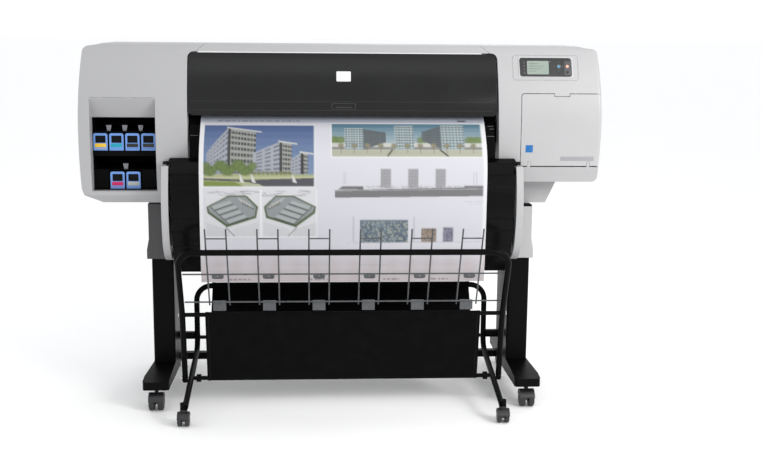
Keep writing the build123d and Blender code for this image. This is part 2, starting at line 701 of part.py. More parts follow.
for side, panel_name in ((LEFT, "left_side_panel"), (RIGHT, "right_side_panel")):
    with BuildPart() as side_panel:
        with BuildSketch(Plane.YZ.offset(min(both(side, PANEL_X)))):
            add(arc_outline())
        extrude(amount=PANEL_X[1] - PANEL_X[0])
        inner_x = min(both(side, (PANEL_X[0] - 1, PANEL_X[1] - WALL)))
        with BuildSketch(Plane.YZ.offset(inner_x)):
            add(arc_outline())
            offset(amount=-WALL, kind=Kind.INTERSECTION, mode=Mode.REPLACE)
        extrude(amount=PANEL_X[1] - PANEL_X[0] - WALL + 1, mode=Mode.SUBTRACT)
    save(side_panel, panel_name)

DRUM_RIBS = (905, 872, 838, 740, 690, 628)
DRUM_SHEET = 4.0
LIP_X = (-656.0, 656.0)

with BuildPart() as drum_cover:
    with BuildSketch(Plane.YZ.offset(-DRUM_HALF)):
        with BuildLine():
            ThreePointArc((drum_y(948), 948), (drum_y(779), 779), (drum_y(524), 524))
            inner_top, inner_foot = (drum_y(948, -DRUM_SHEET), 948), (drum_y(524, -DRUM_SHEET), 524)
            ThreePointArc(inner_top, (drum_y(779, -DRUM_SHEET), 779), inner_foot)
            Line((drum_y(948), 948), inner_top)
            Line((drum_y(524), 524), inner_foot)
        make_face()
    extrude(amount=2 * DRUM_HALF)
    slab(LIP_X, ((drum_y(948), 948), (-150, 960), (-141, 960), (drum_y(948, -DRUM_SHEET) + 3, 948)))
    for side in (LEFT, RIGHT):
        block(both(side, (DRUM_HALF - 2, LIP_X[1])), (-176, -168), (ARC_TOP_Z + 2, 950))
        corner = ((side * (LIP_X[1] - 9), 961), (side * (LIP_X[1] + 1), 961), (side * (LIP_X[1] + 1), 936))
        add(front_prism(corner, -130, -200), mode=Mode.SUBTRACT)
    slab((-DRUM_HALF, DRUM_HALF), ((-119, 524), (-119, 520), (60, 520), (60, 524)))
    for rib_z in DRUM_RIBS:
        rod(3.0, (-DRUM_HALF, DRUM_HALF), drum_y(rib_z, 0.5), rib_z)
save(drum_cover, "drum_cover")

# ==== stand ==================================================================================
BRACKET_INNER_X = 676.5
BRACKET_OUTER_X = {LEFT: 747.0, RIGHT: 742.0}
BRACKET_Y = (-50.0, 252.0)
BRACKET_FOOT_Z = LEG_Z[1] + 0.5
BRACKET_TOP = {LEFT: 772.0, RIGHT: 761.0}
GUSSET = ((698.5, 768), (803, 768), (848, 865), (698.5, 865))
BRACE_REAR = ((172.0, 202.0), (88.0, 116.0))
BRACE_THIN = ((180.0, 194.0), (172.0, 184.0))

for side, name in ((LEFT, "left_leg_bracket"), (RIGHT, "right_leg_bracket")):
    with BuildPart() as bracket:
        top, outer_x = BRACKET_TOP[side], BRACKET_OUTER_X[side]
        block(both(side, (BRACKET_INNER_X, outer_x)), BRACKET_Y, (BRACKET_FOOT_Z, top))
        flare = (
            (side * outer_x, BRACKET_FOOT_Z),
            (side * (outer_x + 8), BRACKET_FOOT_Z),
            (side * (outer_x + 8), BRACKET_FOOT_Z + 36),
            (side * outer_x, BRACKET_FOOT_Z + 78),
        )
        add(front_prism(flare, BRACKET_Y[1], BRACKET_Y[0]))
        if side is RIGHT:
            add(front_prism(GUSSET, 200, 10))
            block((698.5, 740), (10, 200), (top - 1, 769))
            block((698.5, 775), (14, 196), (600, 861), mode=Mode.SUBTRACT)
        hollow_x = both(side, (BRACKET_INNER_X - 1, outer_x - WALL))
        hollow_y = (BRACKET_Y[0] + WALL, BRACKET_Y[1] - WALL)
        block(hollow_x, hollow_y, (500, top - WALL), mode=Mode.SUBTRACT)
        passage_x = both(side, (POST_X[0] - 5, POST_X[1] + 2))
        block(passage_x, (POST_Y[0] - 2, POST_Y[1] + 2), (500, 900), mode=Mode.SUBTRACT)
    save(bracket, name)

for side, name in ((LEFT, "left_leg"), (RIGHT, "right_leg")):
    with BuildPart() as leg:
        block(both(side, LEG_X), LEG_Y, LEG_Z)
        fillet(leg.edges().filter_by(Axis.Z), radius=8)
        inner_x = (LEG_X[0] + TUBE_SHEET, LEG_X[1] - TUBE_SHEET)
        inner_y = (LEG_Y[0] + TUBE_SHEET, LEG_Y[1] - TUBE_SHEET)
        block(both(side, inner_x), inner_y, (LEG_Z[0] - 1, LEG_Z[1] - TUBE_SHEET), mode=Mode.SUBTRACT)
        block(both(side, (POST_X[0], POST_X[1])), POST_Y, (LEG_Z[1] - 10, LEG_Z[1] + 1), mode=Mode.SUBTRACT)
        block(both(side, (LEG_X[0] - 1, LEG_X[0] + 5)), (60, 110), (478, 490), mode=Mode.SUBTRACT)
    save(leg, name)

for side, name in ((LEFT, "left_foot"), (RIGHT, "right_foot")):
    with BuildPart() as foot:
        with BuildSketch(Plane.XY.offset(FOOT_Z)) as plan:
            with BuildLine():
                front_y, rear_y = FOOT_Y
                Polyline(
                    (side * 661, front_y),
                    (side * 761, front_y),
                    (side * 761, front_y + 60),
                    (side * 743, LEG_Y[0]),
                    (side * 743, LEG_Y[1]),
                    (side * 761, rear_y - 60),
                    (side * 761, rear_y),
                    (side * 661, rear_y),
                    (side * 661, rear_y - 60),
                    (side * 657, LEG_Y[1]),
                    (side * 657, LEG_Y[0]),
                    (side * 661, front_y + 60),
                    close=True,
                )
            make_face()
            fillet(plan.vertices().filter_by(lambda v: v.Y < front_y + 1 or v.Y > rear_y - 1), radius=14)
        extrude(amount=LEG_Z[0] - FOOT_Z)
        with BuildSketch(Plane.YZ.offset(min(both(side, (600, 800))))):
            with BuildLine():
                Polyline(
                    (front_y, FOOT_Z),
                    (front_y, 116),
                    (LEG_Y[0], LEG_Z[0]),
                    (LEG_Y[1], LEG_Z[0]),
                    (rear_y, 116),
                    (rear_y, FOOT_Z),
                    close=True,
                )
            make_face()
        extrude(amount=200, mode=Mode.INTERSECT)
        cavity_y = (LEG_Y[0] + 20, LEG_Y[1] - 20)
        block(both(side, (668, 734)), cavity_y, (FOOT_Z - 1, LEG_Z[0] - 4), mode=Mode.SUBTRACT)
        for wheel_y, step in zip(CASTER_Y, (1, -1)):
            stem_y = wheel_y + step * CASTER_TRAIL
            upright(STEM_R + RUNNING, side * CASTER_X, stem_y, (FOOT_Z - 1, FOOT_Z + 26), mode=Mode.SUBTRACT)
    save(foot, name)

with BuildPart() as stand_braces:
    block((-657, 657), *BRACE_REAR)
    block((-657, 657), *BRACE_THIN)
    for side in (LEFT, RIGHT):
        arm_x = both(side, (REAR_TUBE_X + TUBE_R + 0.1, LEG_X[0]))
        block(arm_x, (REAR_BAR[0] - 10, REAR_BAR[0] + 10), (205, 225))
save(stand_braces, "stand_braces")


# ==== casters ===================================================================================
def caster_fork(x, wheel_y, stem_y, radius, width, seat_z):
    """The swivelling half of a twin-wheel caster: stem, hood and the web between the wheels."""
    web = 12.0
    axle_r = 4.0
    lean = 1 if stem_y > wheel_y else -1
    with BuildPart() as fork:
        rod(radius * 0.62, (x - web / 2, x + web / 2), wheel_y, radius)
        slab(
            (x - web / 2, x + web / 2),
            (
                (wheel_y - lean * radius * 0.3, radius),
                (wheel_y - lean * radius * 0.55, radius * 1.5),
                (stem_y - lean * 10, seat_z - 3),
                (stem_y + lean * 10, seat_z - 3),
                (stem_y + lean * 10, radius * 1.5),
                (wheel_y + lean * radius * 0.4, radius * 0.8),
            ),
        )
        rod(radius + 4, (x - width / 2, x + width / 2), wheel_y, radius)
        rod(radius + 1.5, (x - width / 2 - 1, x - web / 2), wheel_y, radius, mode=Mode.SUBTRACT)
        rod(radius + 1.5, (x + web / 2, x + width / 2 + 1), wheel_y, radius, mode=Mode.SUBTRACT)
        cut_y = (wheel_y - 90, wheel_y + 90)
        block((x - width, x + width), cut_y, (-20, radius * 1.25), mode=Mode.SUBTRACT)
        slab(
            (x - web / 2, x + web / 2),
            (
                (wheel_y - lean * radius * 0.5, radius * 1.3),
                (wheel_y - lean * 9, radius - 7),
                (wheel_y + lean * 9, radius - 7),
                (wheel_y + lean * radius * 0.5, radius * 1.3),
            ),
        )
        upright(14, x, stem_y, (seat_z - 8, seat_z - 1.5))
        upright(STEM_R, x, stem_y, (seat_z - 8, seat_z + STEM_RISE))
        rod(axle_r + RUNNING, (x - web, x + web), wheel_y, radius, mode=Mode.SUBTRACT)
    return fork.part


def caster_wheel(x, wheel_y, radius, width):
    """Two wheels on one axle, as a single turned piece."""
    web = 12.0
    gap = 0.6
    with BuildPart() as wheel:
        rod(4.0, (x - width / 2 + 1, x + width / 2 - 1), wheel_y, radius)
        for step in (-1, 1):
            span = (x + step * (web / 2 + gap), x + step * (width / 2 - 0.5))
            rod(radius, span, wheel_y, radius)
        rims = wheel.edges().filter_by(GeomType.CIRCLE)
        fillet(rims.filter_by(lambda e: abs(e.radius - radius) < 0.1), radius=4)
    return wheel.part


for side, side_name in ((LEFT, "left"), (RIGHT, "right")):
    for wheel_y, step, end_name in ((CASTER_Y[0], 1, "front"), (CASTER_Y[1], -1, "rear")):
        stem_y = wheel_y + step * CASTER_TRAIL
        with BuildPart() as fork:
            add(caster_fork(side * CASTER_X, wheel_y, stem_y, CASTER_R, 56.0, FOOT_Z))
        save(fork, f"{side_name}_{end_name}_caster_fork")
        with BuildPart() as wheel:
            add(caster_wheel(side * CASTER_X, wheel_y, CASTER_R, 56.0))
        save(wheel, f"{side_name}_{end_name}_caster_wheel")

# ==== basket =====================================================================================
TUBE_SLOPE = 0.1745
BASKET_SOCKET_X = 590.0
BASKET_STEM_Y = BASKET_CASTER_Y + 10.0
SOCKET_Z = (62.0, 84.0)


def tube_height(y):
    """Height of the rear hoop's sloping foot tube at y."""
    return PIVOT[1] + (y - PIVOT[0]) * TUBE_SLOPE


def bent_tube(points, radius_list):
    """Sweeps the basket's round tube along straight runs joined by arcs."""
    with BuildPart() as tube:
        with BuildLine() as path:
            FilletPolyline(*points, radius=radius_list)
        with BuildSketch(Plane(origin=path.line @ 0, z_dir=path.line % 0)):
            Circle(TUBE_R)
            Circle(TUBE_R - TUBE_WALL, mode=Mode.SUBTRACT)
        sweep()
    return tube.part


def hoop_points(x, *side_points):
    """A hoop's corner points: up the left side, across and down the right side."""
    rising = [(-x, y, z) for y, z in side_points]
    return rising + [(x, y, z) for y, z in reversed(side_points)]


with BuildPart() as basket_rear_hoop:
    foot_end_y = BASKET_CASTER_Y - 6
    rear_side = ((foot_end_y, tube_height(foot_end_y)), (REAR_BAR[0], tube_height(REAR_BAR[0])), REAR_BAR)
    add(bent_tube(hoop_points(REAR_TUBE_X, *rear_side), 60))
    for side in (LEFT, RIGHT):
        rod(4.0 + RUNNING, both(side, (560, 610)), *PIVOT, mode=Mode.SUBTRACT)
        upright(13.0, side * BASKET_SOCKET_X, BASKET_STEM_Y, SOCKET_Z)
        upright(STEM_R + RUNNING, side * BASKET_SOCKET_X, BASKET_STEM_Y, (50, 84), mode=Mode.SUBTRACT)
        rod(15, both(side, (545, 562)), *PIVOT)
    rod(ROD_THIN_R, (-572, 572), *PIVOT)
save(basket_rear_hoop, "basket_rear_hoop")

with BuildPart() as basket_front_hoop:
    front_side = ((PIVOT[0] + 3, PIVOT[1] - 14), MID_ROD, TOP_BAR)
    add(bent_tube(hoop_points(FRONT_TUBE_X, *front_side), 62))
    rod(ROD_THIN_R, (-FRONT_TUBE_X + 10.2, FRONT_TUBE_X - 10.2), *MID_ROD)
    for side in (LEFT, RIGHT):
        rod(4.0, both(side, (590, 630)), *PIVOT, mode=Mode.SUBTRACT)
save(basket_front_hoop, "basket_front_hoop")

with BuildPart() as basket_rivets:
    for side in (LEFT, RIGHT):
        rod(4.0, both(side, (573.5, 620)), *PIVOT)
        rod(9.0, both(side, (617.3, 621)), *PIVOT)
        rod(9.0, both(side, (617.3, 620)), MID_ROD[0] - 1, MID_ROD[1])
save(basket_rivets, "basket_rivets")


def panel_line(start, end, start_gap, end_gap):
    """A straight line beside two rods, at the given distances from their axes."""
    run = hypot(end[0] - start[0], end[1] - start[1])
    along = ((end[0] - start[0]) / run, (end[1] - start[1]) / run)
    across = (-along[1], along[0])
    first = (start[0] + across[0] * start_gap, start[1] + across[1] * start_gap)
    last = (end[0] + across[0] * end_gap, end[1] + across[1] * end_gap)
    return first, last


SLING = {
    "basket_sling_front": panel_line(PIVOT, MID_ROD, ROD_THIN_R + 1.4, ROD_THIN_R + 1.4),
    "basket_sling_rear": panel_line(PIVOT, REAR_BAR, -ROD_THIN_R - 1.4, -TUBE_R - 1.4),
}

for sling_name, (foot_point, head_point) in SLING.items():
    with BuildPart() as sling:
        with BuildSketch(Plane.YZ.offset(-CLOTH_HALF)):
            with BuildLine():
                Line(foot_point, head_point)
            trace(line_width=CLOTH_THICK)
        extrude(amount=2 * CLOTH_HALF)
    save(sling, sling_name)

RACK_RUN = hypot(TOP_BAR[0] - MID_ROD[0], TOP_BAR[1] - MID_ROD[1])
RACK_ALONG = ((TOP_BAR[0] - MID_ROD[0]) / RACK_RUN, (TOP_BAR[1] - MID_ROD[1]) / RACK_RUN)
RACK_BACK = (RACK_ALONG[1], -RACK_ALONG[0])
WIRE_BACK = TUBE_R + WIRE_R + 0.4
LONG_WIRE_BACK = WIRE_BACK - 2 * WIRE_R + 1.8


def rack_point(z, back):
    """Y and Z of the point at height z on the hoop's upper plane, moved back at right angles."""
    along = (z - MID_ROD[1]) / RACK_ALONG[1]
    y = MID_ROD[0] + RACK_ALONG[0] * along
    return y + RACK_BACK[0] * back, z + RACK_BACK[1] * back


def bar_between(radius, start, end):
    """A round bar from one 3-D point to another."""
    axis = Vector(*end) - Vector(*start)
    with BuildSketch(Plane(origin=start, z_dir=axis)) as section:
        Circle(radius)
    extrude(section.sketch, amount=axis.length)


with BuildPart() as wire_rack:
    for long_z in (424.0, 543.0):
        wire_y, wire_z = rack_point(long_z, LONG_WIRE_BACK)
        rod(WIRE_R, (-594, 594), wire_y, wire_z)
    for pair_x in WIRE_PAIRS:
        for step in (-1, 1):
            x = pair_x + step * WIRE_HALF_GAP
            bar_between(WIRE_R, (x, *rack_point(408, WIRE_BACK)), (x, *rack_point(724, WIRE_BACK)))
        cross_y, cross_z = rack_point(687, WIRE_BACK)
        rod(CROSS_WIRE_R, (pair_x - WIRE_HALF_GAP, pair_x + WIRE_HALF_GAP), cross_y, cross_z)
        plate_plane = Plane(
            origin=(pair_x, *rack_point(537, LONG_WIRE_BACK - 4)),
            x_dir=(1, 0, 0),
            z_dir=(0, -RACK_BACK[0], -RACK_BACK[1]),
        )
        with BuildSketch(plate_plane):
            SlotOverall(44, 20)
            Circle(4, mode=Mode.SUBTRACT)
        extrude(amount=3, both=True)
        clamp_y, clamp_z = rack_point(405, LONG_WIRE_BACK)
        block((pair_x - 24, pair_x + 24), (clamp_y - 5, clamp_y + 8), (clamp_z - 16, clamp_z + 20))
save(wire_rack, "wire_rack")

for side, side_name in ((LEFT, "left"), (RIGHT, "right")):
    caster_x = side * BASKET_SOCKET_X
    with BuildPart() as fork:
        add(caster_fork(caster_x, BASKET_CASTER_Y, BASKET_STEM_Y, BASKET_WHEEL_R, 44.0, SOCKET_Z[0]))
    save(fork, f"{side_name}_basket_caster_fork")
    with BuildPart() as wheel:
        add(caster_wheel(caster_x, BASKET_CASTER_Y, BASKET_WHEEL_R, 44.0))
    save(wheel, f"{side_name}_basket_caster_wheel")

# ==== small parts at the back =========================================================================
with BuildPart() as power_inlet:
    block((739, 789), (285, 303), (1005, 1035))
    block((752, 776), (288, 304), (1012, 1028), mode=Mode.SUBTRACT)
    for blade_x in (757, 764, 771):
        block((blade_x - 1, blade_x + 1), (288, 300), (1017, 1023))
save(power_inlet, "power_inlet")

with BuildPart() as case_screws:
    for screw_x in (-540, -270, 0, 270, 540):
        for screw_z in (985, 1310):
            with Locations(Location((screw_x, 299.2, screw_z), (90, 0, 0))):
                Cylinder(4.5, 2.4)
                Box(5.5, 1, 2, align=(Align.CENTER, Align.CENTER, Align.MIN), mode=Mode.SUBTRACT)
save(case_screws, "case_screws")
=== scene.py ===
"""The large format plotter's looks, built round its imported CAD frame.

Lengths are in millimetres in the frame's own axes, and at() turns a point into Blender's metres.
The plotter stands on z = 0 with its front towards -y. Lights and the depths of finishes are in metres.
"""
import math
import random

import bmesh
import bpy
import numpy as np
from mathutils import Matrix, Vector


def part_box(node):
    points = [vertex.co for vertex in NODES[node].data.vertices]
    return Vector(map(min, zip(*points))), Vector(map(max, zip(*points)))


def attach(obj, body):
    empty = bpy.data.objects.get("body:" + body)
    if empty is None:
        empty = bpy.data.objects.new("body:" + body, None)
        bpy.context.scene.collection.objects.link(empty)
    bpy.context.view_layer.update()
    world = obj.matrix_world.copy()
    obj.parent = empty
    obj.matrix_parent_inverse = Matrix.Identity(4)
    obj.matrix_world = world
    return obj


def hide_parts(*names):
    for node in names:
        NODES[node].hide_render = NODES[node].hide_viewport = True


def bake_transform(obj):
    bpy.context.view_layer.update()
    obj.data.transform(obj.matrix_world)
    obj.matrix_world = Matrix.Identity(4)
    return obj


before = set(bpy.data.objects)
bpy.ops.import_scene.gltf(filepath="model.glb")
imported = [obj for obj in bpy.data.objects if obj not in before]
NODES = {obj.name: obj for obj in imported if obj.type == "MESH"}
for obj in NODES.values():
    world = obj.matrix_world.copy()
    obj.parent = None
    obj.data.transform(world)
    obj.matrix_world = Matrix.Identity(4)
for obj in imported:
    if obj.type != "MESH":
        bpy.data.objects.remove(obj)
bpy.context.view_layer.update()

MM = 0.001
INKS = ("yellow", "cyan", "matte_black", "photo_black", "magenta", "grey")
CASTERS = [f"{side}_{place}" for side in ("left", "right") for place in ("front", "rear", "basket")]


def at(x, y, z):
    return Vector((x, y, z)) * MM


def put_in_scene(obj):
    bpy.context.scene.collection.objects.link(obj)


def box_mm(node):
    """A CAD node's lowest and highest corners in millimetres."""
    low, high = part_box(node)
    return low / MM, high / MM


# ---- camera, lights and floor

CAMERA_PLACE = (-121.4, -4437.3, 1452.7)
CAMERA_PITCH = 0.17482
CAMERA_YAW = 0.06159
CAMERA_ROLL = 0.0090
CAMERA_LENS = 54.16


def add_camera():
    data = bpy.data.cameras.new("camera")
    data.lens = CAMERA_LENS
    data.sensor_width = 36
    camera = bpy.data.objects.new("camera", data)
    put_in_scene(camera)
    turn = Matrix.Rotation(-CAMERA_YAW, 4, "Z") @ Matrix.Rotation(math.pi / 2 - CAMERA_PITCH, 4, "X")
    camera.matrix_world = (
        Matrix.Translation(at(*CAMERA_PLACE)) @ turn @ Matrix.Rotation(CAMERA_ROLL, 4, "Z")
    )
    bpy.context.scene.camera = camera


def add_light(name, place, target, size, watts, colour=(1, 1, 1)):
    data = bpy.data.lights.new(name, "AREA")
    data.shape = "RECTANGLE"
    data.size, data.size_y = size
    data.energy = watts
    data.color = colour
    light = bpy.data.objects.new(name, data)
    put_in_scene(light)
    light.location = place
    light.rotation_euler = (Vector(target) - Vector(place)).to_track_quat("-Z", "Y").to_euler()


def add_studio():
    add_light("key_light", (2.7, -2.7, 2.3), (0.8, -0.1, 1.1), (1.3, 1.3), 88, (1, 0.99, 0.97))
    add_light("front_box", (0.0, -4.5, 4.4), (0, 0, 1.1), (3.2, 1.0), 10, (0.98, 0.99, 1))
    add_light("strip_light", (1.45, -4.4, 2.15), (0.64, -0.2, 0.86), (0.6, 0.12), 1.6)
    add_light("top_light", (0.6, 0.1, 4.0), (0.3, 0, 0.9), (2.6, 1.6), 9)
    add_light("back_light", (1.5, 4.2, 2.8), (0, 0.2, 0.9), (3.0, 2.0), 10)
    world = bpy.data.worlds.new("studio_air")
    bpy.context.scene.world = world
    world.use_nodes = True
    air = world.node_tree.nodes["Background"]
    air.inputs["Color"].default_value = (0.985, 0.99, 1, 1)
    air.inputs["Strength"].default_value = 1.03
    bpy.context.scene.view_settings.view_transform = "Standard"


# ---- materials

MATERIAL = {}
PAPER_WHITE = (0.74, 0.74, 0.80)


def add_node(material, kind, inputs=None, **settings):
    """A shader node of the kind, with each input set to a value or linked to a socket."""
    node = material.node_tree.nodes.new("ShaderNode" + kind)
    for key, value in settings.items():
        setattr(node, key, value)
    for key, value in (inputs or {}).items():
        if isinstance(value, bpy.types.NodeSocket):
            material.node_tree.links.new(value, node.inputs[key])
        else:
            node.inputs[key].default_value = value
    return node


def principled(name, colour, roughness, sockets=None):
    material = bpy.data.materials.new(name)
    MATERIAL[name] = material
    material.use_nodes = True
    shader = material.node_tree.nodes["Principled BSDF"]
    shader.inputs["Base Color"].default_value = (*colour, 1)
    shader.inputs["Roughness"].default_value = roughness
    for socket, value in (sockets or {}).items():
        shader.inputs[socket].default_value = value
    return material


def link_shader(material, socket, value):
    shader = material.node_tree.nodes["Principled BSDF"]
    material.node_tree.links.new(value, shader.inputs[socket])


def object_place(material, stretch=(1, 1, 1)):
    """The point on the surface in the frame's metres, stretched along each axis."""
    place = add_node(material, "TexCoord").outputs["Object"]
    return add_node(material, "Mapping", {"Vector": place, "Scale": stretch}).outputs[0]


def noise(material, scale, detail=4, stretch=(1, 1, 1)):
    inputs = {"Vector": object_place(material, stretch), "Scale": scale, "Detail": detail}
    return add_node(material, "TexNoise", inputs).outputs["Fac"]


def spread(material, value, low, high, to_low, to_high):
    """Maps value from low..high to to_low..to_high, clamped."""
    inputs = {"Value": value, "From Min": low, "From Max": high, "To Min": to_low, "To Max": to_high}
    return add_node(material, "MapRange", inputs).outputs[0]


def mix_colour(material, factor, first, second):
    node = add_node(material, "Mix", data_type="RGBA")
    for index, value in ((0, factor), (6, first), (7, second)):
        if isinstance(value, bpy.types.NodeSocket):
            material.node_tree.links.new(value, node.inputs[index])
        else:
            node.inputs[index].default_value = value if index == 0 else (*value, 1)
    return node.outputs[2]


def toned(colour, amount):
    return tuple(max(0, min(1, c * (1 + amount))) for c in colour)


def edge_share(material, radius):
    """1 on sharp outer and inner edges and 0 on flat stretches."""
    soft = add_node(material, "Bevel", {"Radius": radius}, samples=4).outputs[0]
    true = add_node(material, "NewGeometry").outputs["Normal"]
    dot = add_node(material, "VectorMath", {0: soft, 1: true}, operation="DOT_PRODUCT")
    return spread(material, dot.outputs["Value"], 0.90, 0.999, 1, 0)


def surface(name, colour, roughness, tint=0.05, patch=5, grain=900, depth=0.00004,
            edge=0.0012, wear=None, rough_spread=0.08, stretch=(1, 1, 1), sockets=None):
    """A detailed solid finish: uneven tone, uneven gloss, a fine grain and softened, worn edges.
    tint is how uneven the tone is, patch and grain are the scales of its large and fine noise, depth is
    the grain's depth, edge the softening's radius and wear the colour of rubbed edges."""
    material = principled(name, colour, roughness, sockets)
    large = noise(material, patch, 5, stretch)
    small = noise(material, grain, 3, stretch)
    tone = mix_colour(material, spread(material, large, 0.3, 0.7, 0, 1), toned(colour, -tint), toned(colour, tint))
    speckle = spread(material, small, 0.35, 0.65, 0, 0.5)
    tone = mix_colour(material, speckle, tone, toned(colour, -1.5 * tint))
    if wear:
        rubbed = edge_share(material, edge * 1.4)
        scratch = spread(material, noise(material, 60, 6), 0.45, 0.7, 0, 0.55)
        share = add_node(material, "Math", {0: rubbed, 1: scratch}, operation="MULTIPLY")
        tone = mix_colour(material, share.outputs[0], tone, wear)
    link_shader(material, "Base Color", tone)
    gloss = spread(material, large, 0.25, 0.75, roughness - rough_spread, roughness + rough_spread)
    link_shader(material, "Roughness", gloss)
    corner = add_node(material, "Bevel", {"Radius": edge}, samples=4).outputs[0]
    inputs = {"Height": small, "Strength": 0.6, "Distance": depth, "Normal": corner}
    link_shader(material, "Normal", add_node(material, "Bump", inputs).outputs[0])
    return material


def woven_cloth(name, colour, pitch):
    """A plain weave of the given thread pitch in metres, with a soft nap."""
    sheen = {"Sheen Weight": 0.03, "Sheen Roughness": 0.5, "Specular IOR Level": 0.05}
    material = principled(name, colour, 0.92, sheen)
    threads = []
    for stretch in ((1, 0, 0), (0, 0.6, 1)):
        wave_inputs = {"Vector": object_place(material, stretch), "Scale": 1 / pitch / 3.14, "Distortion": 0.6}
        direction = "X" if stretch[0] else "Z"
        wave = add_node(material, "TexWave", wave_inputs, bands_direction=direction)
        threads.append(wave.outputs["Fac"])
    weave = add_node(material, "Math", {0: threads[0], 1: threads[1]}, operation="MAXIMUM").outputs[0]
    dust = noise(material, 22, 6)
    tone = mix_colour(material, spread(material, dust, 0.4, 0.75, 0, 1), colour, toned(colour, 0.9))
    tone = mix_colour(material, spread(material, weave, 0.2, 0.9, 0, 0.5), tone, toned(colour, -0.6))
    link_shader(material, "Base Color", tone)
    bump = add_node(material, "Bump", {"Height": weave, "Strength": 0.7, "Distance": 0.0003})
    link_shader(material, "Normal", bump.outputs[0])


def see_through(name, colour, roughness, transmission, gloss=0.5):
    sockets = {"Transmission Weight": transmission, "IOR": 1.49, "Specular IOR Level": gloss}
    return surface(name, colour, roughness, tint=0.08, patch=8, grain=400, depth=0.00001,
                   rough_spread=0.05, sockets=sockets)


def lit_plastic(name, colour, glow):
    return surface(name, colour, 0.3, tint=0.04, patch=120,
                   sockets={"Emission Color": (*colour, 1), "Emission Strength": glow})


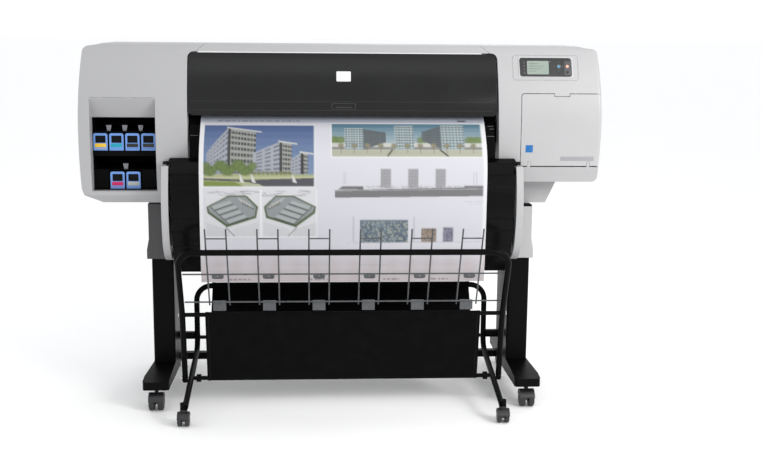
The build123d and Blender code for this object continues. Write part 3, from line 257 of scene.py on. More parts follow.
def make_materials():
    """Makes every finish, and each is kept in MATERIAL under its own name."""
    surface("light_grey_plastic", (0.37, 0.37, 0.377), 0.42, 0.025, 3, 1400, 0.00005, 0.003, (0.60, 0.60, 0.61))
    surface("door_plastic", (0.38, 0.38, 0.387), 0.4, 0.025, 4, 1400, 0.00005, 0.003, (0.60, 0.60, 0.61))
    # Painted shade: a much darker copy of the grey plastic for the left leg bracket, standing for the shade it sits
    # in.
    surface("shaded_bracket_grey", (0.050, 0.050, 0.052), 0.45, 0.05, 6, 1400, 0.00005, 0.003, (0.12, 0.12, 0.125))
    surface("black_plastic", (0.0025, 0.0025, 0.0028), 0.36, 0.25, 5, 1100, 0.00004, 0.002, (0.02, 0.02, 0.021),
            0.08, (1, 1, 1), {"Specular IOR Level": 0.04})
    surface("drum_black", (0.0015, 0.0015, 0.0018), 0.22, 0.25, 4, 900, 0.00003, 0.002, (0.02, 0.02, 0.021),
            0.05, (0.3, 1, 1), {"Specular IOR Level": 0.10})
    surface("rear_sheet", (0.46, 0.46, 0.475), 0.5, 0.04, 4, 700, 0.00006, 0.001, (0.62, 0.62, 0.63))
    see_through("smoked_window", (0.009, 0.0092, 0.0098), 0.19, 0.12, 0.22)
    surface("black_steel", (0.0022, 0.0022, 0.0025), 0.38, 0.3, 6, 800, 0.00007, 0.0015, (0.03, 0.03, 0.032),
            0.08, (1, 1, 1), {"Specular IOR Level": 0.06})
    surface("ground_rod", (0.62, 0.62, 0.64), 0.16, 0.05, 12, 900, 0.00001, 0.0005, None, 0.05, (0.02, 1, 1),
            {"Metallic": 1.0})
    surface("screw_steel", (0.10, 0.10, 0.11), 0.35, 0.2, 200, 1500, 0.00002, 0.0004, (0.4, 0.4, 0.41), 0.08,
            (1, 1, 1), {"Metallic": 1.0})
    surface("rivet_zinc", (0.66, 0.66, 0.68), 0.26, 0.08, 150, 1200, 0.00001, 0.0008, None, 0.08, (1, 1, 1),
            {"Metallic": 1.0})
    surface("grey_wire", (0.085, 0.09, 0.095), 0.32, 0.25, 40, 900, 0.00004, 0.0006, (0.3, 0.3, 0.31), 0.08,
            (1, 1, 1), {"Metallic": 0.35})
    surface("dark_plastic", (0.020, 0.020, 0.023), 0.45, 0.2, 12, 1000, 0.00004, 0.0012, (0.08, 0.08, 0.085))
    surface("panel_plastic", (0.011, 0.0115, 0.0125), 0.35, 0.1, 30, 1600, 0.00002, 0.0006)
    surface("roll_paper", (0.80, 0.80, 0.77), 0.75, 0.02, 8, 500, 0.00004, 0.0004, None, 0.05, (1, 12, 12))
    surface("plain_paper", (0.72, 0.72, 0.79), 0.55, 0.015, 6, 700, 0.00002, 0.0002)
    surface("roller_rubber", (0.022, 0.022, 0.022), 0.8, 0.2, 20, 1200, 0.0001, 0.0005)
    surface("caster_plastic", (0.014, 0.014, 0.016), 0.38, 0.25, 30, 900, 0.00005, 0.0012, (0.10, 0.10, 0.105))
    surface("caster_tread", (0.020, 0.020, 0.022), 0.6, 0.25, 40, 600, 0.0001, 0.0012, (0.16, 0.15, 0.14))
    woven_cloth("black_cloth", (0.0026, 0.0026, 0.0030), 0.0016)
    surface("cartridge_blue", (0.13, 0.27, 0.62), 0.36, 0.05, 60, 1500, 0.00002, 0.0012, (0.25, 0.42, 0.75))
    # Clear plastic in a pale grey that paints the pale reflections seen on the bay guides.
    see_through("clear_plastic_painted_sheen", (0.24, 0.25, 0.27), 0.25, 0.35)
    surface("cartridge_black", (0.006, 0.006, 0.007), 0.4, 0.2, 12, 1000, 0.00004, 0.0012, (0.04, 0.04, 0.043),
            sockets={"Specular IOR Level": 0.08})
    surface("bay_black", (0.003, 0.003, 0.0035), 0.5, 0.3, 15, 900, 0.00004, 0.0012,
            sockets={"Specular IOR Level": 0.04})
    surface("screen_green", (0.24, 0.29, 0.25), 0.12, 0.05, 40, 2000, 0.00001, 0.0004,
            sockets={"Coat Weight": 0.5})
    surface("screen_mark", (0.16, 0.20, 0.17), 0.3, 0.05, 40, 2000, 0.00001, 0.0002)
    lit_plastic("lit_key", (0.07, 0.24, 0.32), 0.06)
    lit_plastic("orange_key", (0.85, 0.36, 0.25), 0.25)
    lit_plastic("green_lamp", (0.25, 0.50, 0.36), 0.3)
    surface("dark_key", (0.012, 0.012, 0.014), 0.3, 0.1, 80, 1500, 0.00002, 0.0008)
    surface("bright_border", (0.46, 0.46, 0.47), 0.35, 0.015, 10, 1400, 0.00002, 0.001)
    surface("mark_grey", (0.20, 0.20, 0.21), 0.5, 0.05, 60, 1500, 0.00002, 0.0003)
    surface("badge_silver", (0.66, 0.66, 0.68), 0.35, 0.015, 20, 1500, 0.00001, 0.0002)
    surface("sticker_blue", (0.003, 0.11, 0.34), 0.35, 0.05, 60, 900, 0.00001, 0.0003)
    surface("sticker_light", (0.03, 0.24, 0.45), 0.35, 0.05, 60, 900, 0.00001, 0.0003)
    surface("nameplate_grey", (0.27, 0.27, 0.29), 0.4, 0.04, 60, 1200, 0.00001, 0.0004)
    printed_paper()
    surface("key_strip_grey", (0.055, 0.055, 0.06), 0.4, 0.05, 60, 1500, 0.00001, 0.0003)
    surface("strip_grey", (0.10, 0.10, 0.105), 0.4, 0.05, 60, 1500, 0.00001, 0.0003)
    surface("grip_black", (0.012, 0.012, 0.013), 0.3, 0.1, 60, 1500, 0.00001, 0.0005)
    surface("seam_thread", (0.02, 0.02, 0.022), 0.8, 0.1, 60, 900, 0.00003, 0.0002)
    ink_tones = {"yellow": (0.78, 0.50, 0.03), "cyan": (0.0, 0.30, 0.42), "matte_black": (0.008, 0.008, 0.01),
                 "photo_black": (0.012, 0.012, 0.014), "magenta": (0.50, 0.005, 0.10), "grey": (0.42, 0.43, 0.40)}
    for ink, tone in ink_tones.items():
        surface(ink + "_ink", tone, 0.4, 0.05, 60, 1200, 0.00001, 0.0005)


def printed_paper():
    """Coated paper whose colour is the ink and the painted shade laid on it, with a faint fibre."""
    material = principled("printed_paper", PAPER_WHITE, 0.5, {"Specular IOR Level": 0.35})
    ink = add_node(material, "Attribute", attribute_name="ink").outputs["Color"]
    fibre = noise(material, 600, 5)
    shade = spread(material, fibre, 0.35, 0.7, 0, 0.06)
    link_shader(material, "Base Color", mix_colour(material, shade, ink, (0.45, 0.45, 0.47)))
    link_shader(material, "Roughness", spread(material, noise(material, 9), 0.3, 0.7, 0.42, 0.58))
    bump = add_node(material, "Bump", {"Height": fibre, "Strength": 0.4, "Distance": 0.00002})
    link_shader(material, "Normal", bump.outputs[0])


make_materials()

NODE_FINISH = {
    "black_steel": ("basket_rear_hoop", "chassis", "left_foot", "left_leg", "right_foot", "right_leg",
                    "stand_braces", "basket_front_hoop"),
    "bay_black": ("cartridge_bay",),
    "screw_steel": ("case_screws",),
    "panel_plastic": ("control_panel",),
    "screen_green": ("display_screen",),
    "drum_black": ("drum_cover",),
    "light_grey_plastic": ("left_housing", "left_side_panel", "right_housing", "right_leg_bracket",
                           "right_side_panel", "top_cover"),
    # Painted shade: the left leg bracket takes the darker copy of the grey plastic.
    "shaded_bracket_grey": ("left_leg_bracket",),
    "dark_plastic": ("maintenance_cartridge", "power_inlet", "service_station", "carriage", "upper_spindle",
                     "lower_spindle"),
    "plain_paper": ("paper_web",),
    "black_plastic": ("platen",),
    "rear_sheet": ("rear_cover",),
    "ground_rod": ("slider_rods",),
    "smoked_window": ("window",),
    "door_plastic": ("service_door",),
    "roller_rubber": ("feed_roller",),
    "lit_key": ("ok_button",),
    "orange_key": ("cancel_button",),
    "dark_key": ("power_button",),
    "roll_paper": ("upper_paper_roll", "lower_paper_roll"),
    "rivet_zinc": ("basket_rivets",),
    "grey_wire": ("wire_rack",),
}


def dress(obj, *names):
    """Gives obj the named finishes, in the order of its material slots."""
    obj.data.materials.clear()
    for name in names:
        obj.data.materials.append(MATERIAL[name])
    return obj


def dress_nodes():
    for finish, nodes in NODE_FINISH.items():
        for node in nodes:
            dress(NODES[node], finish)
    for ink in INKS:
        dress(NODES[ink + "_cartridge"], "cartridge_black")
    for caster in CASTERS:
        dress(NODES[caster + "_caster_fork"], "caster_plastic")
        dress(NODES[caster + "_caster_wheel"], "caster_tread")
    for name in ("basket_sling_front", "basket_sling_rear"):
        dress(NODES[name], "black_cloth")


def add_floor():
    bpy.ops.mesh.primitive_plane_add(size=240)
    floor = bpy.context.object
    floor.name = "studio_floor"
    floor.data.materials.append(surface("studio_floor", (0.97, 0.97, 0.97), 0.7, 0.008, 0.6, 40, 0.00002, 0.001))


# ---- mesh helpers

IN_FRONT = -2000
WIDEST_HOLE = 40


def finish_piece(name, shape, body, finishes, sharp_degrees=35):
    """Turns a bmesh in millimetres into a dressed piece that rides on a body."""
    bmesh.ops.recalc_face_normals(shape, faces=shape.faces)
    bmesh.ops.scale(shape, vec=(MM, MM, MM), verts=shape.verts)
    mesh = bpy.data.meshes.new(name)
    shape.to_mesh(mesh)
    shape.free()
    mesh.shade_smooth()
    mesh.set_sharp_from_angle(angle=math.radians(sharp_degrees))
    piece = bpy.data.objects.new(name, mesh)
    put_in_scene(piece)
    dress(piece, *finishes)
    if body:
        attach(piece, body)
    return piece


def rounded(x0, x1, z0, z1, radii, steps=6):
    """A rounded rectangle as points (x, z). radii run from the low-x, low-z corner, anticlockwise."""
    points = []
    corners = ((x0, z0, 1, 1, 180), (x1, z0, -1, 1, 270), (x1, z1, -1, -1, 0), (x0, z1, 1, -1, 90))
    for (x, z, inward_x, inward_z, start), radius in zip(corners, radii):
        for step in range(steps + 1):
            angle = math.radians(start + 90 * step / steps)
            points.append((x + radius * (inward_x + math.cos(angle)), z + radius * (inward_z + math.sin(angle))))
    return points


def disc(x, z, radius, steps=32):
    turn = 2 * math.pi / steps
    return [(x + radius * math.cos(i * turn), z + radius * math.sin(i * turn)) for i in range(steps)]


def plate(outline, back, front, opening=None, soften=0.3):
    """A flat plate from height back to height front, held at y = -height, with an optional opening.
    The opening has as many points as the outline."""
    shape = bmesh.new()
    loops = [outline] + ([opening] if opening else [])
    rings = [[[shape.verts.new((x, -h, z)) for x, z in points] for points in loops] for h in (back, front)]
    count = len(outline)
    for level in rings:
        if opening:
            for i in range(count):
                j = (i + 1) % count
                shape.faces.new((level[0][i], level[0][j], level[1][j], level[1][i]))
        else:
            shape.faces.new(level[0])
    for low, high in zip(*rings):
        for i in range(count):
            j = (i + 1) % count
            shape.faces.new((low[i], low[j], high[j], high[i]))
    bmesh.ops.recalc_face_normals(shape, faces=shape.faces)
    if soften:
        rims = [e for e in shape.edges
                if all(abs(v.co.y + front) < 0.001 for v in e.verts) and e.calc_face_angle(0) > 1]
        bmesh.ops.bevel(shape, geom=rims, offset=soften, segments=2, affect="EDGES", profile=0.6)
    return shape


def slice_shape(shape, step):
    """Cuts the shape at every step along x and z, so that it can follow a curved skin."""
    for axis in (0, 2):
        values = [v.co[axis] for v in shape.verts]
        cut = math.ceil(min(values) / step) * step
        while cut < max(values):
            point = Vector((0, 0, 0))
            normal = Vector((0, 0, 0))
            point[axis], normal[axis] = cut, 1
            everything = shape.verts[:] + shape.edges[:] + shape.faces[:]
            bmesh.ops.bisect_plane(shape, geom=everything, plane_co=point, plane_no=normal, dist=0.0001)
            cut += step


def skin(node, x, z, over_hole=0):
    """Where a line from the front at (x, z) meets a CAD node, with the surface's normal, in millimetres.
    Over a hole it is the mean of the hits on two sides of it, over_hole away."""
    hit, place, normal, _ = NODES[node].ray_cast(at(x, IN_FRONT, z), Vector((0, 1, 0)))
    if hit:
        return place / MM, normal
    if over_hole > WIDEST_HOLE:
        raise ValueError(f"nothing of {node} at x {x:.1f}, z {z:.1f}")
    reach = over_hole + 4
    for dx, dz in ((0, reach), (reach, 0)):
        ends = [NODES[node].ray_cast(at(x + k * dx, IN_FRONT, z + k * dz), Vector((0, 1, 0)))
                for k in (-1, 1)]
        if all(end[0] for end in ends):
            y = (ends[0][1].y + ends[1][1].y) / 2 / MM
            return Vector((x, y, z)), (ends[0][2] + ends[1][2]).normalized()
    return skin(node, x, z, reach)


def wrap(shape, node, step=None):
    """Bends a flat plate onto a CAD node's front, its height measured along the node's normal."""
    if step:
        slice_shape(shape, step)
    for vertex in shape.verts:
        height = -vertex.co.y
        place, normal = skin(node, vertex.co.x, vertex.co.z)
        vertex.co = place + normal * height
    return shape


def merge(shapes):
    """Several bmeshes as one, each with the material index of its place in the list."""
    whole = bmesh.new()
    for index, shape in shapes:
        for face in shape.faces:
            face.material_index = index
        mesh = bpy.data.meshes.new("part")
        shape.to_mesh(mesh)
        shape.free()
        whole.from_mesh(mesh)
        bpy.data.meshes.remove(mesh)
    return whole


# ---- ink cartridges

CARTRIDGE_LABEL = (13, 27)
CARTRIDGE_WINDOW = (29.5, 56.5)


def add_cartridge_front(ink):
    """The blue frame round a cartridge's dark window, and its colour label."""
    node = ink + "_cartridge"
    low, high = box_mm(node)
    middle = (low.x + high.x) / 2
    face = -low.y
    bezel = plate(
        rounded(low.x + 0.4, high.x - 0.4, low.z + 0.4, high.z - 0.4, (1.5, 1.5, 8, 8)),
        face - 3, face + 1.5,
        rounded(middle - 19, middle + 19, low.z + CARTRIDGE_WINDOW[0], low.z + CARTRIDGE_WINDOW[1],
                (1.5, 1.5, 2.5, 2.5)),
        soften=0.9,
    )
    finish_piece(ink + "_cartridge_bezel", bezel, node, ["cartridge_blue"])
    label_low, label_high = (low.z + z for z in CARTRIDGE_LABEL)
    strip = plate(rounded(middle - 21, middle + 21, label_low, label_high, (2, 2, 2, 2)),
                  face + 1.2, face + 1.9, soften=0.25)
    dot = plate(disc(middle, (label_low + label_high) / 2, 2.2, 20), face + 1.8, face + 2.1, soften=0.1)
    rule = plate(rounded(middle - 23, middle + 23, low.z + 7, low.z + 8, (0.4,) * 4, 2),
                 face + 1.3, face + 1.7, soften=0)
    dot_finish = "nameplate_grey" if "black" in ink else "mark_grey"
    finish_piece(ink + "_cartridge_label", merge([(0, strip), (1, dot), (2, rule)]), node,
                 [ink + "_ink", dot_finish, "sticker_light"])


# ---- control panel, door and window details


def add_panel_details():
    """The pale rim and outline round the control panel, its marks, arrows, key ring, key strip and lamp."""
    low, high = box_mm("control_panel")
    rim = plate(
        rounded(low.x - 4, high.x + 4, low.z - 4, high.z + 4, (7, 7, 7, 7)), 0, 1.6,
        rounded(low.x + 0.5, high.x - 0.5, low.z + 0.5, high.z - 0.5, (5, 5, 5, 5)), soften=0.7,
    )
    finish_piece("panel_rim", wrap(rim, "right_housing", 8), "machine", ["bright_border"])
    groove = plate(
        rounded(low.x - 26, high.x + 26, low.z - 15, high.z + 11, (12, 12, 12, 12)), 0, 0.5,
        rounded(low.x - 23.5, high.x + 23.5, low.z - 12.5, high.z + 8.5, (10, 10, 10, 10)), soften=0.2,
    )
    finish_piece("panel_outline", wrap(groove, "right_housing", 8), "machine",
                 ["light_grey_plastic"])
    marks = []
    screen_low, screen_high = box_mm("display_screen")
    rows = [screen_low.z + (screen_high.z - screen_low.z) * share for share in (0.12, 0.37, 0.62, 0.87)]
    for z in rows:
        x = (low.x + screen_low.x) / 2 + 1
        for lean in (1, -1):
            arm = [(x, z + lean * 3.2), (x + 1.6, z + lean * 3.2), (x + 4.4, z), (x + 2.8, z)]
            marks.append((0, wrap(plate(arm if lean < 0 else arm[::-1], 0, 0.5, soften=0), "control_panel")))
    ok_low, ok_high = box_mm("ok_button")
    ok_x, ok_z = (ok_low.x + ok_high.x) / 2, (ok_low.z + ok_high.z) / 2
    for dx, dz in ((0, 15), (0, -15), (-15, 0), (14, 0)):
        arrow = disc(ok_x + dx, ok_z + dz, 1.8, 3)
        marks.append((0, wrap(plate(arrow, 0, 0.5, soften=0), "control_panel")))
    key_radius = (ok_high.x - ok_low.x) / 2
    ring = plate(disc(ok_x, ok_z, key_radius - 0.2, 40), 0, 0.5, disc(ok_x, ok_z, key_radius * 0.6, 40), soften=0.2)
    finish_piece("ok_ring", wrap(ring, "ok_button", 3), "ok_button", ["key_strip_grey"])
    lamp_x = screen_high.x + 5
    marks.append((1, wrap(plate(disc(lamp_x, screen_high.z - 3, 1.9, 20), 0, 0.8, soften=0.3), "control_panel")))
    finish_piece("panel_marks", merge(marks), "machine", ["mark_grey", "green_lamp"])
    cancel_low, cancel_high = box_mm("cancel_button")
    power_low = box_mm("power_button")[0]
    keypad = plate(
        rounded(cancel_low.x - 6, high.x - 4, power_low.z - 4, cancel_high.z + 14, (2, 4, 4, 2)), 0, 0.5,
        soften=0.2,
    )
    finish_piece("key_strip", wrap(keypad, "control_panel", 10), "machine", ["key_strip_grey"])


def add_screen_lines():
    """Menu bars on the display, without words."""
    low, high = box_mm("display_screen")
    shapes = []
    for row, end in enumerate((0.55, 0.78, 0.64, 0.42)):
        z = high.z - 10 - row * 9.5
        x0, x1 = (low.x + share * (high.x - low.x) for share in (0.08, end))
        bar = plate(rounded(x0, x1, z - 1.4, z + 1.4, (0.8,) * 4, 2), 0, 0.15, soften=0)
        shapes.append((0, wrap(bar, "display_screen")))
    finish_piece("screen_lines", merge(shapes), "machine", ["screen_mark"])


def add_door_details():
    """The sticker and the blank nameplate on the service door."""
    low, high = box_mm("service_door")
    sticker = plate(rounded(low.x + 18, low.x + 46, low.z + 52, low.z + 80, (1,) * 4, 2), 0, 0.35, soften=0.1)
    glow = plate(disc(low.x + 33, low.z + 65, 6, 4), 0.3, 0.5, soften=0.05)
    finish_piece("door_sticker", wrap(merge([(0, sticker), (1, glow)]), "service_door", 12), "service_door",
                 ["sticker_blue", "sticker_light"])
    nameplate = plate(rounded(high.x - 155, high.x - 27, low.z + 20, low.z + 36, (2,) * 4, 3), 0, 0.8, soften=0.3)
    bar = plate(rounded(high.x - 130, high.x - 52, low.z + 26.5, low.z + 29.5, (1,) * 4, 2), 0.7, 1.0, soften=0)
    finish_piece("door_nameplate", wrap(merge([(0, nameplate), (1, bar)]), "service_door", 12), "service_door",
                 ["nameplate_grey", "mark_grey"])


def add_window_details():
    """The plain badge, grip recess and moulded bands on the smoked window."""
    low, high = box_mm("window")
    badge = plate(rounded(-27, 27, 1245, 1282, (3,) * 4), 0, 0.9, soften=0.4)
    inner = plate(disc(0, 1263.5, 14.5, 40), 0.8, 1.4, soften=0.3)
    finish_piece("window_badge", wrap(merge([(0, badge), (1, inner)]), "window", 12), "window",
                 ["badge_silver", "bright_border"])
    grip = plate(rounded(-46, 46, 1140, 1166, (3, 3, 9, 9)), 0, 1.4, rounded(-42, 42, 1143, 1162.5, (2, 2, 7, 7)),
                 soften=0.5)
    bar = plate(rounded(-31, 31, 1146, 1152, (2.5,) * 4, 3), 0, 2.2, soften=0.9)
    finish_piece("window_grip", wrap(merge([(0, grip), (1, bar)]), "window", 12), "window",
                 ["grip_black", "key_strip_grey"])
    bands = []
    for z0, z1 in ((1170, 1171.5), (1137, 1138.5)):
        bands.append((0, wrap(plate(rounded(low.x + 14, high.x - 14, z0, z1, (0.6,) * 4, 2), 0, 0.4, soften=0),
                              "window", 40)))
    finish_piece("window_bands", merge(bands), "window", ["grip_black"])


def add_bay_guides():
    """The tapered clear guides that hang between the cartridge columns; their pale grey tone paints the reflections
    on the clear plastic.
    """
    centres = {ink: sum(c.x for c in box_mm(ink + "_cartridge")) / 2 for ink in INKS}
    tops = {ink: box_mm(ink + "_cartridge")[1].z for ink in INKS}
    neighbours = (("yellow", "cyan"), ("cyan", "matte_black"), ("matte_black", "photo_black"),
                  ("magenta", "grey"))
    guides = []
    for first, second in neighbours:
        x = (centres[first] + centres[second]) / 2
        foot = tops[first] + 3
        guide = [(x - 6, foot), (x + 6, foot), (x + 10, foot + 26), (x - 10, foot + 26)]
        guides.append((int(first == "matte_black"), plate(guide, 62, 71, soften=2)))
    finish_piece("bay_guides", merge(guides), "machine", ["clear_plastic_painted_sheen", "grip_black"])


def add_slot_strips():
    """Thin grey guide strips on the platen beside the sheet."""
    strips = []
    for x0, x1, z in ((-575, -546, 1041), (546, 574, 1041), (548, 572, 1078), (556, 575, 1068)):
        strip = plate(rounded(x0, x1, z - 0.9, z + 0.9, (0.8,) * 4, 2), 0, 0.8, soften=0.2)
        strips.append((0, wrap(strip, "platen", 20)))
    finish_piece("slot_strips", merge(strips), "machine", ["strip_grey"])


def add_bracket_shade_band():
    """A black band in the gap between the right bracket and its gusset: a dark piece that paints the shade in that
    gap.
    """
    low = box_mm("right_leg_bracket")[0]
    band = plate(rounded(low.x + 1, 741, 761.4, 767.6, (1,) * 4, 2), 4, 46, soften=0.8)
    finish_piece("bracket_shade_band", band, "machine", ["bay_black"])


# ---- the printed sheet

PRINT_STEP = 3.6
PRINT_TOP = 1118.8
PRINT_LEAD = 32
PRINT_SAMPLES = 3
PRINT_LIFT = 0.3
PRINT_BACK = 0.05
PROFILE_STEPS = 260
PAPER_TONE = 0.66


class Drawing:
    """Inks laid in layers on a grid of points, in millimetres across and down the sheet."""

    def __init__(self, across, down, ground):
        self.x, self.y = np.meshgrid(across, down)
        self.ink = np.empty(self.x.shape + (3,))
        self.ink[:] = ground
        self.random = np.random.default_rng(7)
        self.mask = 1.0

    def keep_within(self, x0, x1, y0, y1):
        """Limits everything laid from here on to one picture."""
        self.mask = ((self.x >= x0) & (self.x <= x1) & (self.y >= y0) & (self.y <= y1)).astype(float)

    def lay(self, share, colour):
        share = (np.clip(share, 0, 1) * self.mask)[..., None]
        self.ink = self.ink * (1 - share) + np.array(colour) * share

    def inside(self, corners):
        """1 inside the polygon of corners (x, y), else 0."""
        odd = np.zeros(self.x.shape, bool)
        for (x0, y0), (x1, y1) in zip(corners, corners[1:] + corners[:1]):
            if y0 != y1:
                crossing = (y0 > self.y) != (y1 > self.y)
                odd ^= crossing & (self.x < (x1 - x0) * (self.y - y0) / (y1 - y0) + x0)
        return odd.astype(float)

    def fill(self, corners, colour):
        self.lay(self.inside(corners), colour)

    def box(self, x0, x1, y0, y1, colour, share=1.0):
        self.lay(share * ((self.x >= x0) & (self.x <= x1) & (self.y >= y0) & (self.y <= y1)), colour)

    def line(self, x0, y0, x1, y1, width, colour, share=1.0):
        length = math.hypot(x1 - x0, y1 - y0)
        along = ((self.x - x0) * (x1 - x0) + (self.y - y0) * (y1 - y0)) / length**2
        share_along = np.clip(along, 0, 1)
        off = np.hypot(self.x - x0 - share_along * (x1 - x0), self.y - y0 - share_along * (y1 - y0))
        self.lay(share * (off < width / 2 + 0.4), colour)

    def speckle(self, x0, x1, y0, y1, colours, share=0.8, size=1):
        """Random flecks of the colours, as foliage or gravel."""
        area = (self.x >= x0) & (self.x <= x1) & (self.y >= y0) & (self.y <= y1)
        pick = self.random.integers(0, len(colours) + 1, self.x.shape)
        if size > 1:
            pick = pick[::size, ::size].repeat(size, 0).repeat(size, 1)[: self.x.shape[0], : self.x.shape[1]]
        for index, colour in enumerate(colours):
            self.lay(share * (area & (pick == index)), colour)

    def tree(self, x, y, radius, leaf=(0.10, 0.16, 0.035)):
        ragged = radius * (0.75 + 0.5 * self.random.random(self.x.shape))
        off = np.hypot(self.x - x, self.y - y)
        self.lay(0.9 * (off < ragged), leaf)
        self.lay(0.6 * ((off < ragged * 0.7) & (self.random.random(self.x.shape) < 0.45)), (0.26, 0.34, 0.09))


def within(x0, x1, y0, y1, flip=False):
    """Turns shares of a picture's width and height into a point on the sheet."""
    return lambda u, v: (x0 + (1 - u if flip else u) * (x1 - x0), y0 + v * (y1 - y0))


def facade(drawing, corners, floors, bays, wall, glass, gap=0.45):
    """A building face between four corners (top left, top right, bottom right, bottom left), with windows."""
    (ax, ay), (bx, by), (cx, cy), (dx, dy) = corners
    face = drawing.inside(list(corners))
    drawing.lay(face, wall)
    across = (drawing.x - ax) / (bx - ax)
    top = ay + across * (by - ay)
    bottom = dy + across * (cy - dy)
    down = (drawing.y - top) / (bottom - top)
    windows = ((down * floors) % 1 > gap) & ((across * bays) % 1 > 0.3) & (down > 0.04) & (down < 0.97)
    drawing.lay(face * windows, glass)


def draw_street(d, x0, x1, y0, y1):
    """A perspective of three office blocks, receding to the right, with trees, lawn and a road."""
    p, h = within(x0, x1, y0, y1), y1 - y0
    frame_area = (d.x >= x0) & (d.x <= x1) & (d.y >= y0) & (d.y <= y1)
    fall = np.clip((d.y - y0) / h, 0, 1)
    for step in range(8):
        share = frame_area & (fall >= step / 8) & (fall <= (step + 1) / 8)
        d.lay(share, (0.075 + 0.020 * step, 0.13 + 0.026 * step, 0.30 + 0.024 * step))
    blocks = (
        ((0.215, 0.06), (0.47, 0.14), (0.47, 0.83), (0.215, 0.83), 0.03, 0.50, 8, 9),
        ((0.685, 0.32), (0.80, 0.36), (0.80, 0.82), (0.685, 0.82), 0.45, 0.50, 7, 5),
        ((0.88, 0.50), (0.945, 0.52), (0.945, 0.81), (0.88, 0.81), 0.79, 0.60, 5, 3),
    )
    for (a, b, c, e, side_u, side_v, floors, bays) in blocks:
        side = (p(side_u, side_v), p(*a), p(*e), p(side_u, 0.82))
        facade(d, side, floors, max(3, bays - 2), (0.40, 0.42, 0.47), (0.16, 0.18, 0.23), 0.55)
        facade(d, (p(*a), p(*b), p(*c), p(*e)), floors, bays, (0.36, 0.37, 0.34), (0.035, 0.04, 0.045), 0.45)
        d.fill([p(a[0] - 0.01, a[1] - 0.03), p(b[0] + 0.05, b[1] - 0.02), p(b[0] + 0.05, b[1] + 0.005),
                p(a[0] - 0.01, a[1])], (0.60, 0.61, 0.60))
        d.fill([p(*a), p(a[0] + 0.025, a[1] + 0.01), p(a[0] + 0.025, 0.82), p(*e)], (0.03, 0.03, 0.03))
    d.box(x0, x1, y0 + 0.82 * h, y1, (0.42, 0.45, 0.22))
    for u in range(2, 46, 3):
        d.tree(*p(u / 100, 0.73 + 0.05 * math.sin(u * 1.7)), 0.055 * h + 0.03 * h * math.sin(u * 2.3) ** 2)
    for u in range(46, 80, 4):
        d.tree(*p(u / 100, 0.80), 0.028 * h, (0.16, 0.17, 0.06))
    d.box(x0, x1, y0 + 0.855 * h, y0 + 0.88 * h, (0.55, 0.56, 0.36))
    d.fill([p(0, 0.875), p(0.4, 0.90), p(1, 0.87), p(1, 1), p(0.55, 1), p(0.4, 0.93), p(0, 0.905)],
          (0.075, 0.078, 0.095))
    d.fill([p(0, 0.92), p(0.28, 0.93), p(0.36, 1), p(0, 1)], (0.20, 0.27, 0.05))
    d.fill([p(0.36, 0.95), p(0.5, 0.96), p(0.54, 1), p(0.36, 1)], (0.45, 0.48, 0.33))
    for u in (0.325, 0.43, 0.80):
        d.fill([p(u, 0.80), p(u + 0.045, 0.95), p(u + 0.005, 0.93)], (0.75, 0.75, 0.74))


def draw_plan(d, x0, x1, y0, y1, flip):
    """An aerial sketch: long roofs on a lawn-edged plot, with pencil lines round it."""
    p = within(x0, x1, y0, y1, flip)
    d.box(x0, x1, y0, y1, (0.62, 0.63, 0.66), 0.5)
    for i in range(16):
        u = d.random.random()
        v = 0.02 + 0.13 * d.random.random()
        d.line(*p(u, v), *p(min(1, u + 0.18), v + 0.08 * (d.random.random() - 0.3)), 1.5, (0.28, 0.28, 0.31), 0.7)
    for i in range(7):
        v = 0.72 + 0.04 * i
        d.line(*p(0.0, v), *p(0.42, v + 0.16), 1.5, (0.35, 0.35, 0.38), 0.6)
        d.line(*p(0.5, v + 0.14), *p(0.98, v - 0.02), 1.5, (0.42, 0.42, 0.45), 0.5)
    rim = [p(0.0, 0.36), p(0.42, 0.12), p(0.75, 0.12), p(0.97, 0.36), p(0.93, 0.60), p(0.38, 0.80), p(0.02, 0.50)]
    d.fill(rim, (0.07, 0.11, 0.03))
    core = [p(0.03, 0.37), p(0.43, 0.15), p(0.74, 0.15), p(0.93, 0.37), p(0.90, 0.56), p(0.39, 0.74), p(0.06, 0.47)]
    d.fill(core, (0.30, 0.33, 0.34))
    for i in range(4):
        u, v = 0.08 + 0.09 * i, 0.36 + 0.10 * i
        roof = [p(u, v), p(u + 0.36, v - 0.13), p(u + 0.42, v - 0.07), p(u + 0.06, v + 0.07)]
        d.fill(roof, (0.44, 0.47, 0.47))
        d.line(*p(u + 0.06, v + 0.08), *p(u + 0.42, v - 0.06), 3.5, (0.05, 0.06, 0.06))
        d.line(*p(u, v), *p(u + 0.06, v + 0.07), 2.5, (0.06, 0.07, 0.06))
    for i in range(5):
        d.line(*p(0.62 + 0.05 * i, 0.20 + 0.03 * i), *p(0.70 + 0.045 * i, 0.31 + 0.025 * i),
               3.5, (0.08, 0.09, 0.06))
        d.line(*p(0.60 + 0.05 * i, 0.17 + 0.03 * i), *p(0.66 + 0.05 * i, 0.26 + 0.03 * i),
               2.5, (0.62, 0.62, 0.60))
    d.line(*p(0.36, 0.80), *p(0.52, 1.0), 3.5, (0.20, 0.20, 0.21), 0.8)


